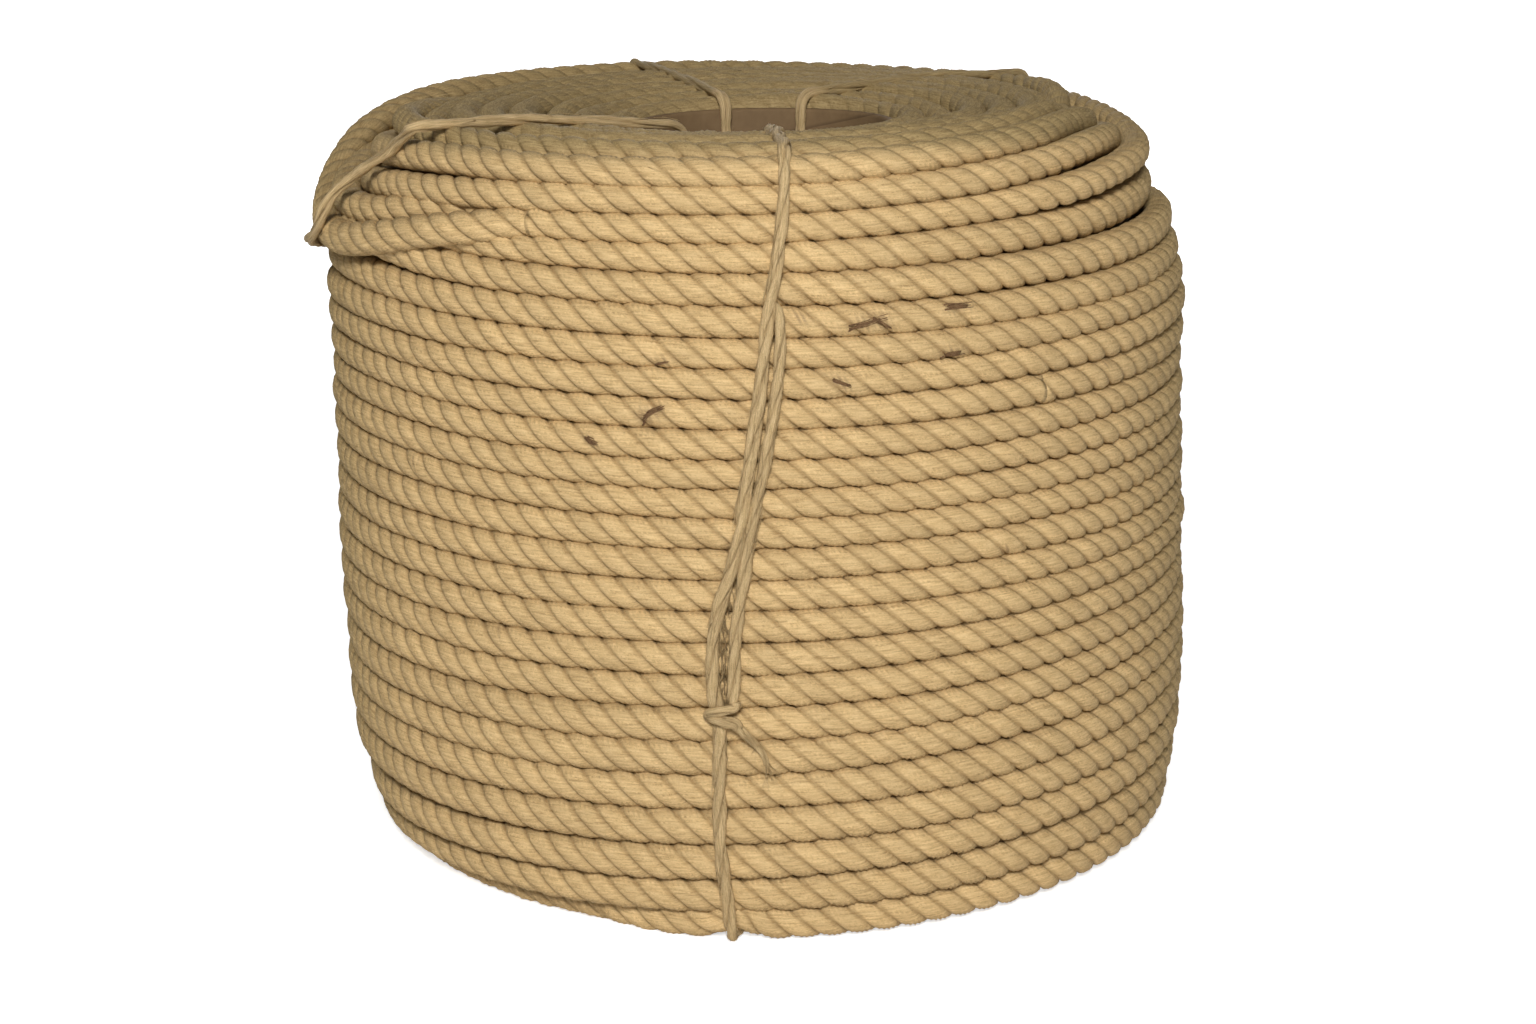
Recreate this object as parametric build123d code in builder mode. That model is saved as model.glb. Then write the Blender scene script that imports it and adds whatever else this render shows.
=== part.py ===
from build123d import *
import math
import os

# Coiled dock line: a factory coil of three-strand natural-fibre rope, wound in
# ten layers on a board tube and bound with four twine lashings that pass
# through the bore. Origin at the centre of the base, +Z up, front is -Y.
# Azimuths are in degrees about +Z from +X, so the front is at 270.

# ---------------------------------------------------------------- dimensions
rope_d = 12.0            # nominal rope diameter
coil_r = 183.0           # outside radius of the coil
coil_h = 304.0           # height of the coil at its outer rim
rows = 26                # turns in the outer layer
row_pitch = coil_h / rows
layer_count = 10
layer_step = 12.6        # radial distance from layer to layer
layer_gap = 0.45         # clearance between two layers
inner_rim_z = 292.0      # the coil's end is dished: the inner rim is lower

tube_ri = 53.5
tube_ro = 56.5
tube_z0, tube_z1 = 14.0, 284.0
first_layer_ri = tube_ro + 0.4
outer_layer_ri = first_layer_ri + layer_step * (layer_count - 1)

end_r = 5.5              # radius of the two rope ends
whip_len = 14.0          # whipping near each rope end
whip_t = 0.9
whip_setback = 4.0       # from the whipping to the tip of the rope

twine_r = 2.4            # lashing twine
bore_rho = tube_ri - twine_r - 0.5       # twine axis in the bore
outer_rho = coil_r + twine_r + 0.6       # twine axis on the coil's face
over_inner_z = inner_rim_z + twine_r + 0.9
over_outer_z = coil_h + twine_r + 1.2

# azimuths of the lashings: (in the bore, at the rim)
front_in, front_out = 270.0, 272.4
left_in, left_out = 232.0, 190.0
back_in, back_out = 108.0, 111.0
right_in, right_out = 71.0, 45.0
front_low = 264.8        # the front lashing leans: its foot is further left

notch_az = 300.0         # where the rope's inner end comes into the bore

channel_w = 26.0         # hollow that a lashing presses into the coil's base
channel_h = 5.5
channel_rho0, channel_rho1 = 48.0, 184.0
cut_below = 1.0          # cuts in the base start this far under it

os.makedirs("parts", exist_ok=True)


# ---------------------------------------------------------------- helpers
def polar(rho, az, z=0.0):
    a = math.radians(az)
    return (rho * math.cos(a), rho * math.sin(a), z)


def save(part, name):
    part.label = name
    export_step(part, f"parts/{name}.step")


def tangent_plane(az, z, rho):
    """Upright plane facing outward: local x runs toward higher azimuth, local y is up."""
    return Plane(origin=polar(rho, az, z), x_dir=polar(1.0, az + 90), z_dir=polar(1.0, az))


def start_plane(path):
    return Plane(origin=path @ 0, z_dir=path % 0)


def spline_path(points, plane=Plane.XY):
    with BuildLine(plane) as path:
        Spline(*points)
    return path.line


def arc_path(rho, az0, az1, z):
    with BuildLine() as path:
        ThreePointArc(polar(rho, az0, z), polar(rho, (az0 + az1) / 2, z), polar(rho, az1, z))
    return path.line


def fillet_path(points, radius, close=False):
    with BuildLine() as path:
        FilletPolyline(*points, radius=radius, close=close)
    return path.line


def round_sweep(path, radius, bore_r=0.0):
    """Round bar along a path, or a pipe if bore_r is given."""
    with BuildPart() as bar:
        with BuildSketch(start_plane(path)):
            Circle(radius)
            if bore_r:
                Circle(bore_r, mode=Mode.SUBTRACT)
        sweep(path=path)
    return bar.part


def upright_tube(origin, outer_r, inner_r, height):
    with BuildPart() as tube:
        with BuildSketch(Plane(origin=origin, z_dir=(0, 0, 1))):
            Circle(outer_r)
            Circle(inner_r, mode=Mode.SUBTRACT)
        extrude(amount=height)
    return tube.part


def channel_plane(az_in, az_out):
    """Plane under the middle of a base channel, with the channel's length along x."""
    inner = Vector(*polar(channel_rho0, az_in))
    outer = Vector(*polar(channel_rho1, az_out))
    mid = (inner + outer) * 0.5
    run = outer - inner
    plane = Plane(origin=(mid.X, mid.Y, -cut_below), x_dir=run.normalized(), z_dir=(0, 0, 1))
    return plane, run.length


channels = [
    channel_plane(front_in, front_low),
    channel_plane(left_in, left_out),
    channel_plane(back_in, back_out),
    channel_plane(right_in, right_out),
]

# ---------------------------------------------------------------- core tube
save(upright_tube((0, 0, tube_z0), tube_ro, tube_ri, tube_z1 - tube_z0), "core_tube")

# ---------------------------------------------------------------- inner layers
foot_fillet = 3.4
notch_rho, notch_len = 58.0, 40.0


def inner_layer(number):
    """One wall of rope turns, counted from 1 at the tube."""
    ri = first_layer_ri + layer_step * (number - 1)
    ro = ri + layer_step - layer_gap
    top = inner_rim_z + (coil_h - inner_rim_z) * (number - 1) / (layer_count - 1)
    with BuildPart() as layer:
        with BuildSketch(Plane.XZ):
            with Locations(((ri + ro) / 2, top / 2)):
                Rectangle(ro - ri, top)
            # round on top; flattened where the coil's weight bears on it
            fillet(vertices().group_by(Axis.Y)[-1], (ro - ri) / 2 - 0.02)
            fillet(vertices().group_by(Axis.Y)[0], foot_fillet)
        revolve(axis=Axis.Z)
        for plane, length in channels:
            with BuildSketch(plane):
                Rectangle(length, channel_w)
            extrude(amount=channel_h + cut_below, mode=Mode.SUBTRACT)
        if number == 1:
            # the rope's inner end passes under the tube's foot here
            origin = polar(notch_rho, notch_az, -cut_below)
            with BuildSketch(Plane(origin=origin, x_dir=polar(1.0, notch_az), z_dir=(0, 0, 1))):
                Rectangle(notch_len, rope_d + 1.4)
            extrude(amount=rope_d + 1.2 + cut_below, mode=Mode.SUBTRACT)
    return layer.part


for i in range(1, layer_count):
    save(inner_layer(i), f"rope_layer_{i:02d}")

# ---------------------------------------------------------------- loose turn
# One of the upper turns swings out at the left and climbs over the rim.
loose_r = 5.7
# (radius beyond coil_r, azimuth, z)
loose_stations = [
    (-5.6, 250, 272.0), (-4.2, 237, 267.0), (-1.0, 222, 262.0), (2.2, 209, 259.5),
    (3.6, 198, 262.0), (2.4, 188, 272.0), (-1.2, 177, 285.5), (-5.6, 166, 295.0),
    (-6.6, 154, 298.6), (-6.7, 146, 298.8),
]
loose_pts = [polar(coil_r + offset, az, z) for offset, az, z in loose_stations]
loose_path = spline_path(loose_pts)
save(round_sweep(loose_path, loose_r), "rope_loose_turn")

# ---------------------------------------------------------------- outer layer
# The turns show as rounded rows; the lowest and the highest are drawn in.
drawn_in = [7.0, 3.0, 1.0] + [0.0] * (rows - 6) + [0.4, 1.2, 2.5]
row_r = [coil_r - inset for inset in drawn_in]
groove_depth = 2.3
groove_r = [min(lower, upper) - groove_depth for lower, upper in zip(row_r, row_r[1:])]
top_row_z = (rows - 1) * row_pitch
top_row_root = top_row_z - 1.0            # the top turn is sunk into the row below
top_row_runs = ((226.0, 409.0), (104.0, 143.5))   # round the front; at the back left
top_shoulder_z = 299.0
bed_r = loose_r + 0.5                     # bed of the loose turn


def outer_layer():
    with BuildPart() as layer:
        with BuildSketch(Plane.XZ):
            with BuildLine():
                foot = (outer_layer_ri + 2.2, 0)
                Line((outer_layer_ri, 2.5), (outer_layer_ri + 0.8, 0))
                Line((outer_layer_ri + 0.8, 0), foot)
                ThreePointArc(foot, (row_r[0], row_pitch * 0.55), (groove_r[0], row_pitch))
                for k in range(1, rows - 1):
                    ThreePointArc(
                        (groove_r[k - 1], k * row_pitch),
                        (row_r[k], (k + 0.5) * row_pitch),
                        (groove_r[k], (k + 1) * row_pitch),
                    )
                Line((groove_r[-1], top_row_z), (outer_layer_ri, top_row_z))
                Line((outer_layer_ri, top_row_z), (outer_layer_ri, 2.5))
            make_face()
        revolve(axis=Axis.Z)
        # the top turn, in two runs
        top_r = row_r[-1]
        for az0, az1 in top_row_runs:
            with BuildSketch(Plane(origin=(0, 0, 0), x_dir=polar(1.0, az0), z_dir=polar(1.0, az0 - 90))):
                with BuildLine():
                    inner_foot = (outer_layer_ri, top_row_root)
                    outer_foot = (top_r - 1.6, top_row_root)
                    inner_shoulder = (outer_layer_ri, top_shoulder_z)
                    outer_shoulder = (top_r - 0.6, top_shoulder_z)
                    Line(inner_foot, inner_shoulder)
                    ThreePointArc(inner_shoulder, (outer_layer_ri + 4.9, coil_h), outer_shoulder)
                    ThreePointArc(outer_shoulder, (top_r, 296.5), outer_foot)
                    Line(outer_foot, inner_foot)
                make_face()
            revolve(axis=Axis.Z, revolution_arc=az1 - az0)
        # bed of the loose turn, with round ends
        with BuildSketch(start_plane(loose_path)):
            Circle(bed_r)
        sweep(path=loose_path, mode=Mode.SUBTRACT)
        for bed_end in (loose_pts[0], loose_pts[-1]):
            with Locations(bed_end):
                Sphere(bed_r, mode=Mode.SUBTRACT)
        for plane, length in channels:
            with BuildSketch(plane):
                Rectangle(length, channel_w)
            extrude(amount=channel_h + cut_below, mode=Mode.SUBTRACT)
    return layer.part


save(outer_layer(), f"rope_layer_{layer_count}")

# ---------------------------------------------------------------- outer end
end_rho, end_z = coil_r - 5.6, 299.1
end_az0, end_az1 = 52.5, 97.0             # root and tip


def rope_end_outer():
    path = arc_path(end_rho, end_az0, end_az1, end_z)
    with BuildPart() as rope_end:
        with BuildSketch(start_plane(path)):
            Circle(end_r)
        sweep(path=path)
        with Locations(polar(end_rho, end_az0, end_z)):
            Sphere(end_r)
    return rope_end.part


def whipping_outer():
    az0 = end_az1 - math.degrees((whip_len + whip_setback) / end_rho)
    az1 = end_az1 - math.degrees(whip_setback / end_rho)
    return round_sweep(arc_path(end_rho, az0, az1, end_z), end_r + whip_t, bore_r=end_r)


save(rope_end_outer(), "rope_end_outer")
save(whipping_outer(), "whipping_outer")

# ---------------------------------------------------------------- inner end
inner_rho = 44.5
inner_z0, inner_z1 = 14.5, 96.0
inner_foot_pt = polar(inner_rho, notch_az, inner_z0 + end_r)   # centre of the round foot
lead_rho, lead_z = 67.4, 6.4


def rope_end_inner():
    """Standing end in the bore, with a round foot."""
    with BuildPart() as rope_end:
        with BuildSketch(Plane(origin=inner_foot_pt, z_dir=(0, 0, 1))):
            Circle(end_r)
        extrude(amount=inner_z1 - inner_z0 - end_r)
        with Locations(inner_foot_pt):
            Sphere(end_r)
    return rope_end.part


def rope_inner_lead():
    """Level run under the tube's foot, cupped where the standing end bears on it."""
    with BuildLine() as path:
        Line(polar(lead_rho, notch_az, lead_z), polar(inner_rho - 4.0, notch_az, lead_z))
    with BuildPart() as lead:
        add(round_sweep(path.line, end_r + 0.3))
        with Locations(inner_foot_pt):
            Sphere(end_r + 0.5, mode=Mode.SUBTRACT)
    return lead.part


save(rope_end_inner(), "rope_end_inner")
save(rope_inner_lead(), "rope_inner_lead")
whip_foot = polar(inner_rho, notch_az, inner_z1 - whip_len - whip_setback)
save(upright_tube(whip_foot, end_r + whip_t, end_r, whip_len), "whipping_inner")


# ---------------------------------------------------------------- closed lashings
def lashing_outline(az_in, az_out, detour=()):
    """Closed outline in the upright plane through the two uprights, as 3-D points."""
    inner = Vector(*polar(bore_rho, az_in))
    outer = Vector(*polar(outer_rho, az_out))
    along = (outer - inner).normalized()
    length = (outer - inner).length
    pts = [(0.0, twine_r), (0.0, over_inner_z), (length, over_outer_z)]
    pts += [(length + out, z) for out, z in detour]
    pts.append((length, twine_r))
    return [(inner.X + along.X * s, inner.Y + along.Y * s, z) for s, z in pts]


# The left lashing passes outside the loose turn: (distance out, z)
left_detour = ((10.8, 289.0), (10.8, 260.0), (0.0, 249.0))
lashings = {
    "lashing_back": lashing_outline(back_in, back_out),
    "lashing_right": lashing_outline(right_in, right_out),
    "lashing_left": lashing_outline(left_in, left_out, left_detour),
}
for name, outline in lashings.items():
    save(round_sweep(fillet_path(outline, 6.5, close=True), twine_r), name)

# ---------------------------------------------------------------- front lashing
# It leans across the face; its two ends meet in the knot.
knot_az, knot_z = 264.0, 94.0
# (azimuth, z) on the coil's face, listed upward
face_up = [
    (knot_az, knot_z + 0.3), (263.6, 112.0), (264.6, 136.0), (266.6, 160.0),
    (268.8, 204.0), (270.4, 244.0), (272.0, 272.0), (front_out, over_outer_z),
]
face_low = [(front_low, twine_r), (264.6, 44.0), (knot_az, knot_z - 0.3)]
front_pts = [
    *(polar(outer_rho, az, z) for az, z in face_up),
    polar(bore_rho, front_in, over_inner_z),
    polar(bore_rho, front_in, twine_r),
    *(polar(outer_rho, az, z) for az, z in face_low),
]
save(round_sweep(fillet_path(front_pts, 6.0), twine_r), "lashing_front")

# the second part, doubled back up the face from the knot: (azimuth, z)
face_return = [
    (265.8, 99.0), (266.0, 114.0), (266.8, 136.0), (268.7, 160.0),
    (269.7, 180.0), (270.9, 204.0), (271.9, 230.0), (272.4, 243.0),
]
return_path = spline_path([polar(outer_rho, az, z) for az, z in face_return])
save(round_sweep(return_path, twine_r - 0.1), "lashing_front_return")

# ---------------------------------------------------------------- knots
knot_rx, knot_ry, knot_t = 6.4, 8.2, 5.6
knot_sink = 2.2          # the knot's back lies this far inside the twine axis
knot_fillet = 1.8
stub_len, stub_w, stub_half_t = 20.0, 3.6, 1.7
stub_drop = 14.0         # from the knot's centre to a stub's centre
stub_leans = (-26.0, 31.0)


def lashing_knot(az, z, leans=()):
    """Oval knot, with one short hanging end for each lean angle."""
    with BuildPart() as knot:
        with BuildSketch(tangent_plane(az, z, outer_rho - knot_sink)):
            Ellipse(knot_rx, knot_ry)
        extrude(amount=knot_t)
        fillet(edges().group_by(SortBy.LENGTH)[-1], knot_fillet)
        for lean in leans:
            with BuildSketch(tangent_plane(az, z, outer_rho)):
                with Locations(Rot(0, 0, lean) * Pos(0, -stub_drop, 0)):
                    SlotOverall(stub_len, stub_w, rotation=90)
            extrude(amount=stub_half_t, both=True)
    return knot.part


front_knot_az = knot_az + 0.4
save(lashing_knot(front_knot_az, knot_z), "lashing_front_knot")
save(lashing_knot(left_out, 150.0, stub_leans), "lashing_left_knot")
save(lashing_knot(back_out, 196.0, stub_leans), "lashing_back_knot")
save(lashing_knot(right_out, 174.0, stub_leans), "lashing_right_knot")

# ---------------------------------------------------------------- front tail
# It hangs from the knot's lower right side, in a plane parallel to the coil's face there.
tail_pts = [(8.6, -8.4), (12.5, -12.0), (16.0, -17.0), (18.0, -25.0)]   # from the knot's centre
tail_path = spline_path(tail_pts, tangent_plane(front_knot_az, knot_z, outer_rho + 0.6))
save(round_sweep(tail_path, twine_r - 0.2), "lashing_front_tail")
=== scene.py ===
"""A coil of three-strand rope wound on a board tube and tied by four twine lashings.

Shapes are worked out in mm; make_mesh turns them into metres. The coil stands on the ground
(z = 0) round the Z axis, its front towards -Y and its right towards +X. An azimuth is in degrees
from +X. A turn angle is in degrees from the front, positive to the right: azimuth 270 + angle.
"""

import math

import bpy
import numpy as np
from mathutils import Matrix, Vector
from mathutils.bvhtree import BVHTree


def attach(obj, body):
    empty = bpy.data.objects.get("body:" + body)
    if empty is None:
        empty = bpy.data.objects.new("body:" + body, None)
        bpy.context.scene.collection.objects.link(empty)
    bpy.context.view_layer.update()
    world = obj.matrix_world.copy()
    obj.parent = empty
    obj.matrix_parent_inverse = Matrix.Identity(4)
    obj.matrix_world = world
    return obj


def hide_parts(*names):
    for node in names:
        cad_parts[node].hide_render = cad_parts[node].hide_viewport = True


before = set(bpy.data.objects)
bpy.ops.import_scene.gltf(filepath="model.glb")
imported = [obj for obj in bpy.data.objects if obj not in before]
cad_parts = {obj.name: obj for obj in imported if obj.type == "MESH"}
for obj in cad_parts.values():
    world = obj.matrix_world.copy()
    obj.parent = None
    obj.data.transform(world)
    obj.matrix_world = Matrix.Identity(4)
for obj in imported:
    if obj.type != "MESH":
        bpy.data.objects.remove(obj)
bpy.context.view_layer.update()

MM = 0.001
FRONT = 270.0                 # azimuth of the front
LAY = 32.0                    # rope length in which a strand goes once round
STEP = 360 / 500.0            # degrees between stations along a turn
HALF_ROPE = 6.15              # from the outer surface in to the rope's centre line
GROUND_Z = 6.4                # centre height of the turns that stand on the ground
DOWN = np.array([0.0, 0.0, -1.0])


# ------------------------------------------------------------------ curves and noise
def noise(x, seed):
    """Smooth 1-D value noise in -1..1."""
    table = np.random.default_rng(seed).uniform(-1, 1, 4096)
    i = np.floor(x).astype(int)
    f = x - i
    f = f * f * (3 - 2 * f)
    return table[i % 4096] * (1 - f) + table[(i + 1) % 4096] * f


def ease(t):
    """Smooth step from 0 to 1."""
    t = np.clip(t, 0, 1)
    return t * t * (3 - 2 * t)


def near(angle, centre, half):
    """1 at the centre angle, easing to 0 at half degrees to either side."""
    off = (np.asarray(angle) - centre + 180) % 360 - 180
    return ease(1 - np.abs(off) / half)


def unit(v):
    return v / np.maximum(np.linalg.norm(v, axis=-1, keepdims=True), 1e-12)


def polar(radius, azimuth, z):
    """Points from cylindrical coordinates; scalars and arrays may be mixed."""
    t = np.radians(azimuth)
    return np.stack(np.broadcast_arrays(radius * np.cos(t), radius * np.sin(t), z), -1)


def outward(points, lean=0.0):
    """Unit vectors away from the Z axis, leaning up by the given slope."""
    normals = np.array(points, float)
    normals[:, 2] = 0
    normals = unit(normals)
    normals[:, 2] += lean
    return unit(normals)


def square_frame(normals, tangent):
    """The normals made square to the tangent, and the third axis."""
    normals = unit(normals - (normals * tangent).sum(1, keepdims=True) * tangent)
    return normals, np.cross(tangent, normals)


def arc_length(path):
    return np.concatenate([[0], np.cumsum(np.linalg.norm(np.diff(path, axis=0), axis=1))])


def resample(path, step):
    length = arc_length(path)
    count = max(4, int(round(length[-1] / step)))
    t = np.linspace(0, length[-1], count + 1)
    return np.stack([np.interp(t, length, column) for column in path.T], 1)


def spline(keys, step):
    """Catmull-Rom through the keys (rows), resampled."""
    keys = np.asarray(keys, float)
    keys = np.concatenate([[2 * keys[0] - keys[1]], keys, [2 * keys[-1] - keys[-2]]])
    t = np.linspace(0, 1, 24, endpoint=False)[:, None]
    out = []
    for p0, p1, p2, p3 in zip(keys, keys[1:], keys[2:], keys[3:]):
        out.append(0.5 * (2 * p1 + (p2 - p0) * t + (2 * p0 - 5 * p1 + 4 * p2 - p3) * t ** 2
                          + (3 * p1 - p0 - 3 * p2 + p3) * t ** 3))
    out.append(keys[-2][None])
    return resample(np.concatenate(out), step)


def box_blur(values, half):
    width = 2 * half + 1
    return np.convolve(np.pad(values, half, mode="edge"), np.ones(width) / width, "valid")


# ------------------------------------------------------------------ meshes
# A part is (points in mm, quads, triangles, {attribute: value per point}).
NO_TRIS = np.zeros((0, 3), int)


def make_mesh(name, points, quads, tris, attrs, material):
    mesh = bpy.data.meshes.new(name)
    points = np.array(points, np.float32) * MM
    points[:, 2] = np.maximum(points[:, 2], 0.0)     # pressed flat where it meets the ground
    loops = np.concatenate([quads.ravel(), tris.ravel()]).astype(np.int32)
    quad_starts = np.arange(len(quads)) * 4
    tri_starts = len(quads) * 4 + np.arange(len(tris)) * 3
    starts = np.concatenate([quad_starts, tri_starts]).astype(np.int32)
    mesh.vertices.add(len(points))
    mesh.vertices.foreach_set("co", points.ravel())
    mesh.loops.add(len(loops))
    mesh.loops.foreach_set("vertex_index", loops)
    mesh.polygons.add(len(starts))
    mesh.polygons.foreach_set("loop_start", starts)
    mesh.update(calc_edges=True)
    mesh.validate()
    mesh.polygons.foreach_set("use_smooth", np.ones(len(mesh.polygons), bool))
    for key, values in attrs.items():
        values = np.asarray(values, np.float32)
        is_vector = values.ndim == 2
        kind, field = ("FLOAT_VECTOR", "vector") if is_vector else ("FLOAT", "value")
        mesh.attributes.new(key, kind, "POINT").data.foreach_set(field, values.ravel())
    ob = bpy.data.objects.new(name, mesh)
    bpy.context.scene.collection.objects.link(ob)
    mesh.materials.append(material)
    return ob


def join_parts(parts, name, material):
    """One mesh from many parts."""
    offsets = np.cumsum([0] + [len(part[0]) for part in parts])
    quads = np.concatenate([part[1] + start for part, start in zip(parts, offsets)])
    tris = np.concatenate([part[2] + start for part, start in zip(parts, offsets)])
    attrs = {key: np.concatenate([part[3][key] for part in parts]) for key in parts[0][3]}
    return make_mesh(name, np.concatenate([part[0] for part in parts]), quads, tris, attrs,
                     material)


def register(ob, body, slot, *nodes):
    """Attach the piece to the empty of the body it moves with and hide what it replaces; slot is
    not used.
    """
    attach(ob, body)
    if nodes:
        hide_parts(*nodes)


def skin(rings, per_ring, closed=False):
    """Point indices and quads over a stack of rings; closed joins the last to the first."""
    index = np.arange(rings * per_ring).reshape(rings, per_ring)
    beside = np.roll(index, -1, 1)
    if closed:
        quads = np.stack([index, beside, np.roll(beside, -1, 0), np.roll(index, -1, 0)], -1)
    else:
        quads = np.stack([index[:-1], beside[:-1], beside[1:], index[1:]], -1)
    return index, quads.reshape(-1, 4)


def revolve(profile, step, ripple=0.0):
    """A closed (radius, z) profile turned round Z, with a slight three-lobed ripple."""
    t = np.radians(np.arange(0, 360, step))
    radius, z = np.array(profile).T[:, :, None]
    radius = radius + ripple * np.sin(3 * t + z / 40.0)
    points = np.stack([radius * np.cos(t), radius * np.sin(t), z + 0 * t], -1).reshape(-1, 3)
    return points, skin(len(profile), len(t), closed=True)[1]


# stations across one strand, -1..1, close together at the groove
STRAND_STATIONS = np.array([-1.0, -0.88, -0.64, -0.32, 0.0, 0.32, 0.64, 0.88])


def laid_tube(path, normals, a, b, lay=LAY, shift=0.0, count=3, groove=0.62, belly=1.0,
              power=2.3, seed=1, wobble=0.24, closed=False, tapers=(0.0, 0.0), start=0.0):
    """One laid rope or twine: a twisted tube with one lobe a strand, as a part.

    a and b are half the thickness along the normal and across it, lay is the length of one
    twist, shift turns the section, and start is the arc length at the first point.
    """
    n = len(path)
    if closed:
        tangent = unit(np.roll(path, -1, 0) - np.roll(path, 1, 0))
    else:
        tangent = unit(np.gradient(path, axis=0))
    normals, across = square_frame(normals, tangent)
    s = start + arc_length(path)
    station = np.tile(STRAND_STATIONS, count)
    strand = np.repeat(np.arange(count), len(STRAND_STATIONS))
    q = np.abs(station)                      # 0 on the strand's crown, 1 in the groove
    m = len(q)
    a = np.broadcast_to(np.asarray(a, float), (n,))
    b = np.broadcast_to(np.asarray(b, float), (n,))
    theta = ((strand + station / 2) * 2 * math.pi / count)[None, :]
    theta = theta + (2 * np.pi * s / lay + shift)[:, None]
    c, sn = np.cos(theta), np.sin(theta)
    reach = (np.abs(c / a[:, None]) ** power + np.abs(sn / b[:, None]) ** power) ** (-1.0 / power)
    relief = -belly * q ** 2.2 - groove * np.exp(-((1 - q) / 0.085) ** 2)
    reach = reach + relief[None, :] * (a + b)[:, None] / 12.0
    tone = np.zeros((n, m))
    for i in range(count):
        mine = strand == i
        swell = (noise(s / 23.0 + 91 * i, seed + i) * 0.6
                 + noise(s / 7.0 + 31 * i, seed + 7 + i) * 0.4)
        reach[:, mine] += (swell * wobble)[:, None] * (1 - q[mine] ** 2)[None, :]
        tone[:, mine] = (noise(s / 60.0 + 17 * i, seed + 20 + i) * 0.6
                         + noise(s / 14.0 + 5 * i, seed + 31 + i) * 0.4)[:, None]
    centre = path[:, None, :]
    spoke = reach[:, :, None] * (c[:, :, None] * normals[:, None, :]
                                 + sn[:, :, None] * across[:, None, :])
    for length, from_end in zip(tapers, (s - s[0], s[-1] - s)):
        if length:
            spoke *= (np.sqrt(np.clip(from_end / length, 0, 1)) * 0.65 + 0.35)[:, None, None]
    points = (centre + spoke).reshape(-1, 3)
    index, quads = skin(n, m, closed)
    tris = NO_TRIS
    if not closed:
        caps = [path[0] - tangent[0] * 0.6, path[-1] + tangent[-1] * 0.6]
        points = np.concatenate([points, caps])
        first, last = index[0], index[-1]
        tris = np.concatenate([
            np.stack([np.roll(first, -1), first, np.full(m, n * m)], -1),
            np.stack([last, np.roll(last, -1), np.full(m, n * m + 1)], -1)])

    def per_point(values, caps=(0.0, 0.0)):
        flat = np.broadcast_to(values, (n, m)).ravel()
        return flat if closed else np.concatenate([flat, caps])

    attrs = {
        # along the rope and across it, for the fibre texture
        "rc": np.stack([per_point(s[:, None], (s[0], s[-1])), per_point(6 * c),
                        per_point(6 * sn)], -1),
        # closeness to the groove between strands, for the painted shade there
        "gr": per_point(np.exp(-((1 - q) / 0.16) ** 2), (0.3, 0.3)),
        "tone": per_point(tone, (-1, -1)),
        "strand": per_point(strand * 13.7),
        # painted shade on the rope's upper and lower flanks, where rows meet
        "edge": per_point(np.clip((np.abs(sn) - 0.80) / 0.20, 0, 1) ** 1.5)}
    return points, quads, tris, attrs


# ------------------------------------------------------------------ materials
class Shader:
    """A material with a Principled shader, and short calls that add nodes to it."""

    def __init__(self, name):
        self.material = bpy.data.materials.new(name)
        self.material.use_nodes = True
        self.tree = self.material.node_tree
        self.tree.nodes.clear()
        self.output = self.add("OutputMaterial")
        self.bsdf = self.add("BsdfPrincipled")
        self.link(self.bsdf.outputs[0], self.output.inputs[0])

    def add(self, kind):
        return self.tree.nodes.new("ShaderNode" + kind)

    def link(self, source, target):
        self.tree.links.new(source, target)

    def feed(self, target, value):
        """Link a socket, or set a colour or a number."""
        if isinstance(value, bpy.types.NodeSocket):
            self.link(value, target)
        elif isinstance(value, tuple):
            target.default_value = (*value, 1.0)
        else:
            target.default_value = value

    def mix(self, fac, a, b):
        node = self.add("Mix")
        node.data_type = "RGBA"
        node.blend_type = "MIX"
        for i, value in ((0, fac), (6, a), (7, b)):
            self.feed(node.inputs[i], value)
        return node.outputs[2]

    def math(self, operation, *values, clamp=False):
        node = self.add("Math")
        node.operation = operation
        node.use_clamp = clamp
        for i, value in enumerate(values):
            self.feed(node.inputs[i], value)
        return node.outputs[0]

    def noise(self, vector, scale, detail, roughness):
        node = self.add("TexNoise")
        node.inputs["Scale"].default_value = scale
        node.inputs["Detail"].default_value = detail
        node.inputs["Roughness"].default_value = roughness
        self.link(vector, node.inputs["Vector"])
        return node.outputs["Fac"]

    def attribute(self, name, output="Fac"):
        node = self.add("Attribute")
        node.attribute_name = name
        return node.outputs[output]

    def object_coords(self):
        return self.add("TexCoord").outputs["Object"]

    def scaled(self, vector, factors):
        node = self.add("VectorMath")
        node.operation = "MULTIPLY"
        self.link(vector, node.inputs[0])
        node.inputs[1].default_value = factors
        return node.outputs[0]

    def ramp(self, fac, *stops):
        """Colour ramp; a stop is (position, colour or grey)."""
        node = self.add("ValToRGB")
        self.link(fac, node.inputs[0])
        elements = node.color_ramp.elements
        while len(elements) < len(stops):
            elements.new(0.5)
        for element, (position, colour) in zip(elements, stops):
            element.position = position
            grey = not isinstance(colour, tuple)
            element.color = (colour, colour, colour, 1.0) if grey else (*colour, 1.0)
        return node.outputs[0]

    def bump(self, height, strength, distance):
        node = self.add("Bump")
        node.inputs["Strength"].default_value = strength
        node.inputs["Distance"].default_value = distance
        self.link(height, node.inputs["Height"])
        self.link(node.outputs[0], self.bsdf.inputs["Normal"])


STAIN_COLOUR = (0.165, 0.082, 0.038)
# dark, middle and light of the fibres under dust and painted shade
DUST_AND_SHADE_STOPS = ((0.34, (0.195, 0.136, 0.056)), (0.52, (0.335, 0.244, 0.106)),
              (0.68, (0.470, 0.355, 0.168)))


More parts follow.
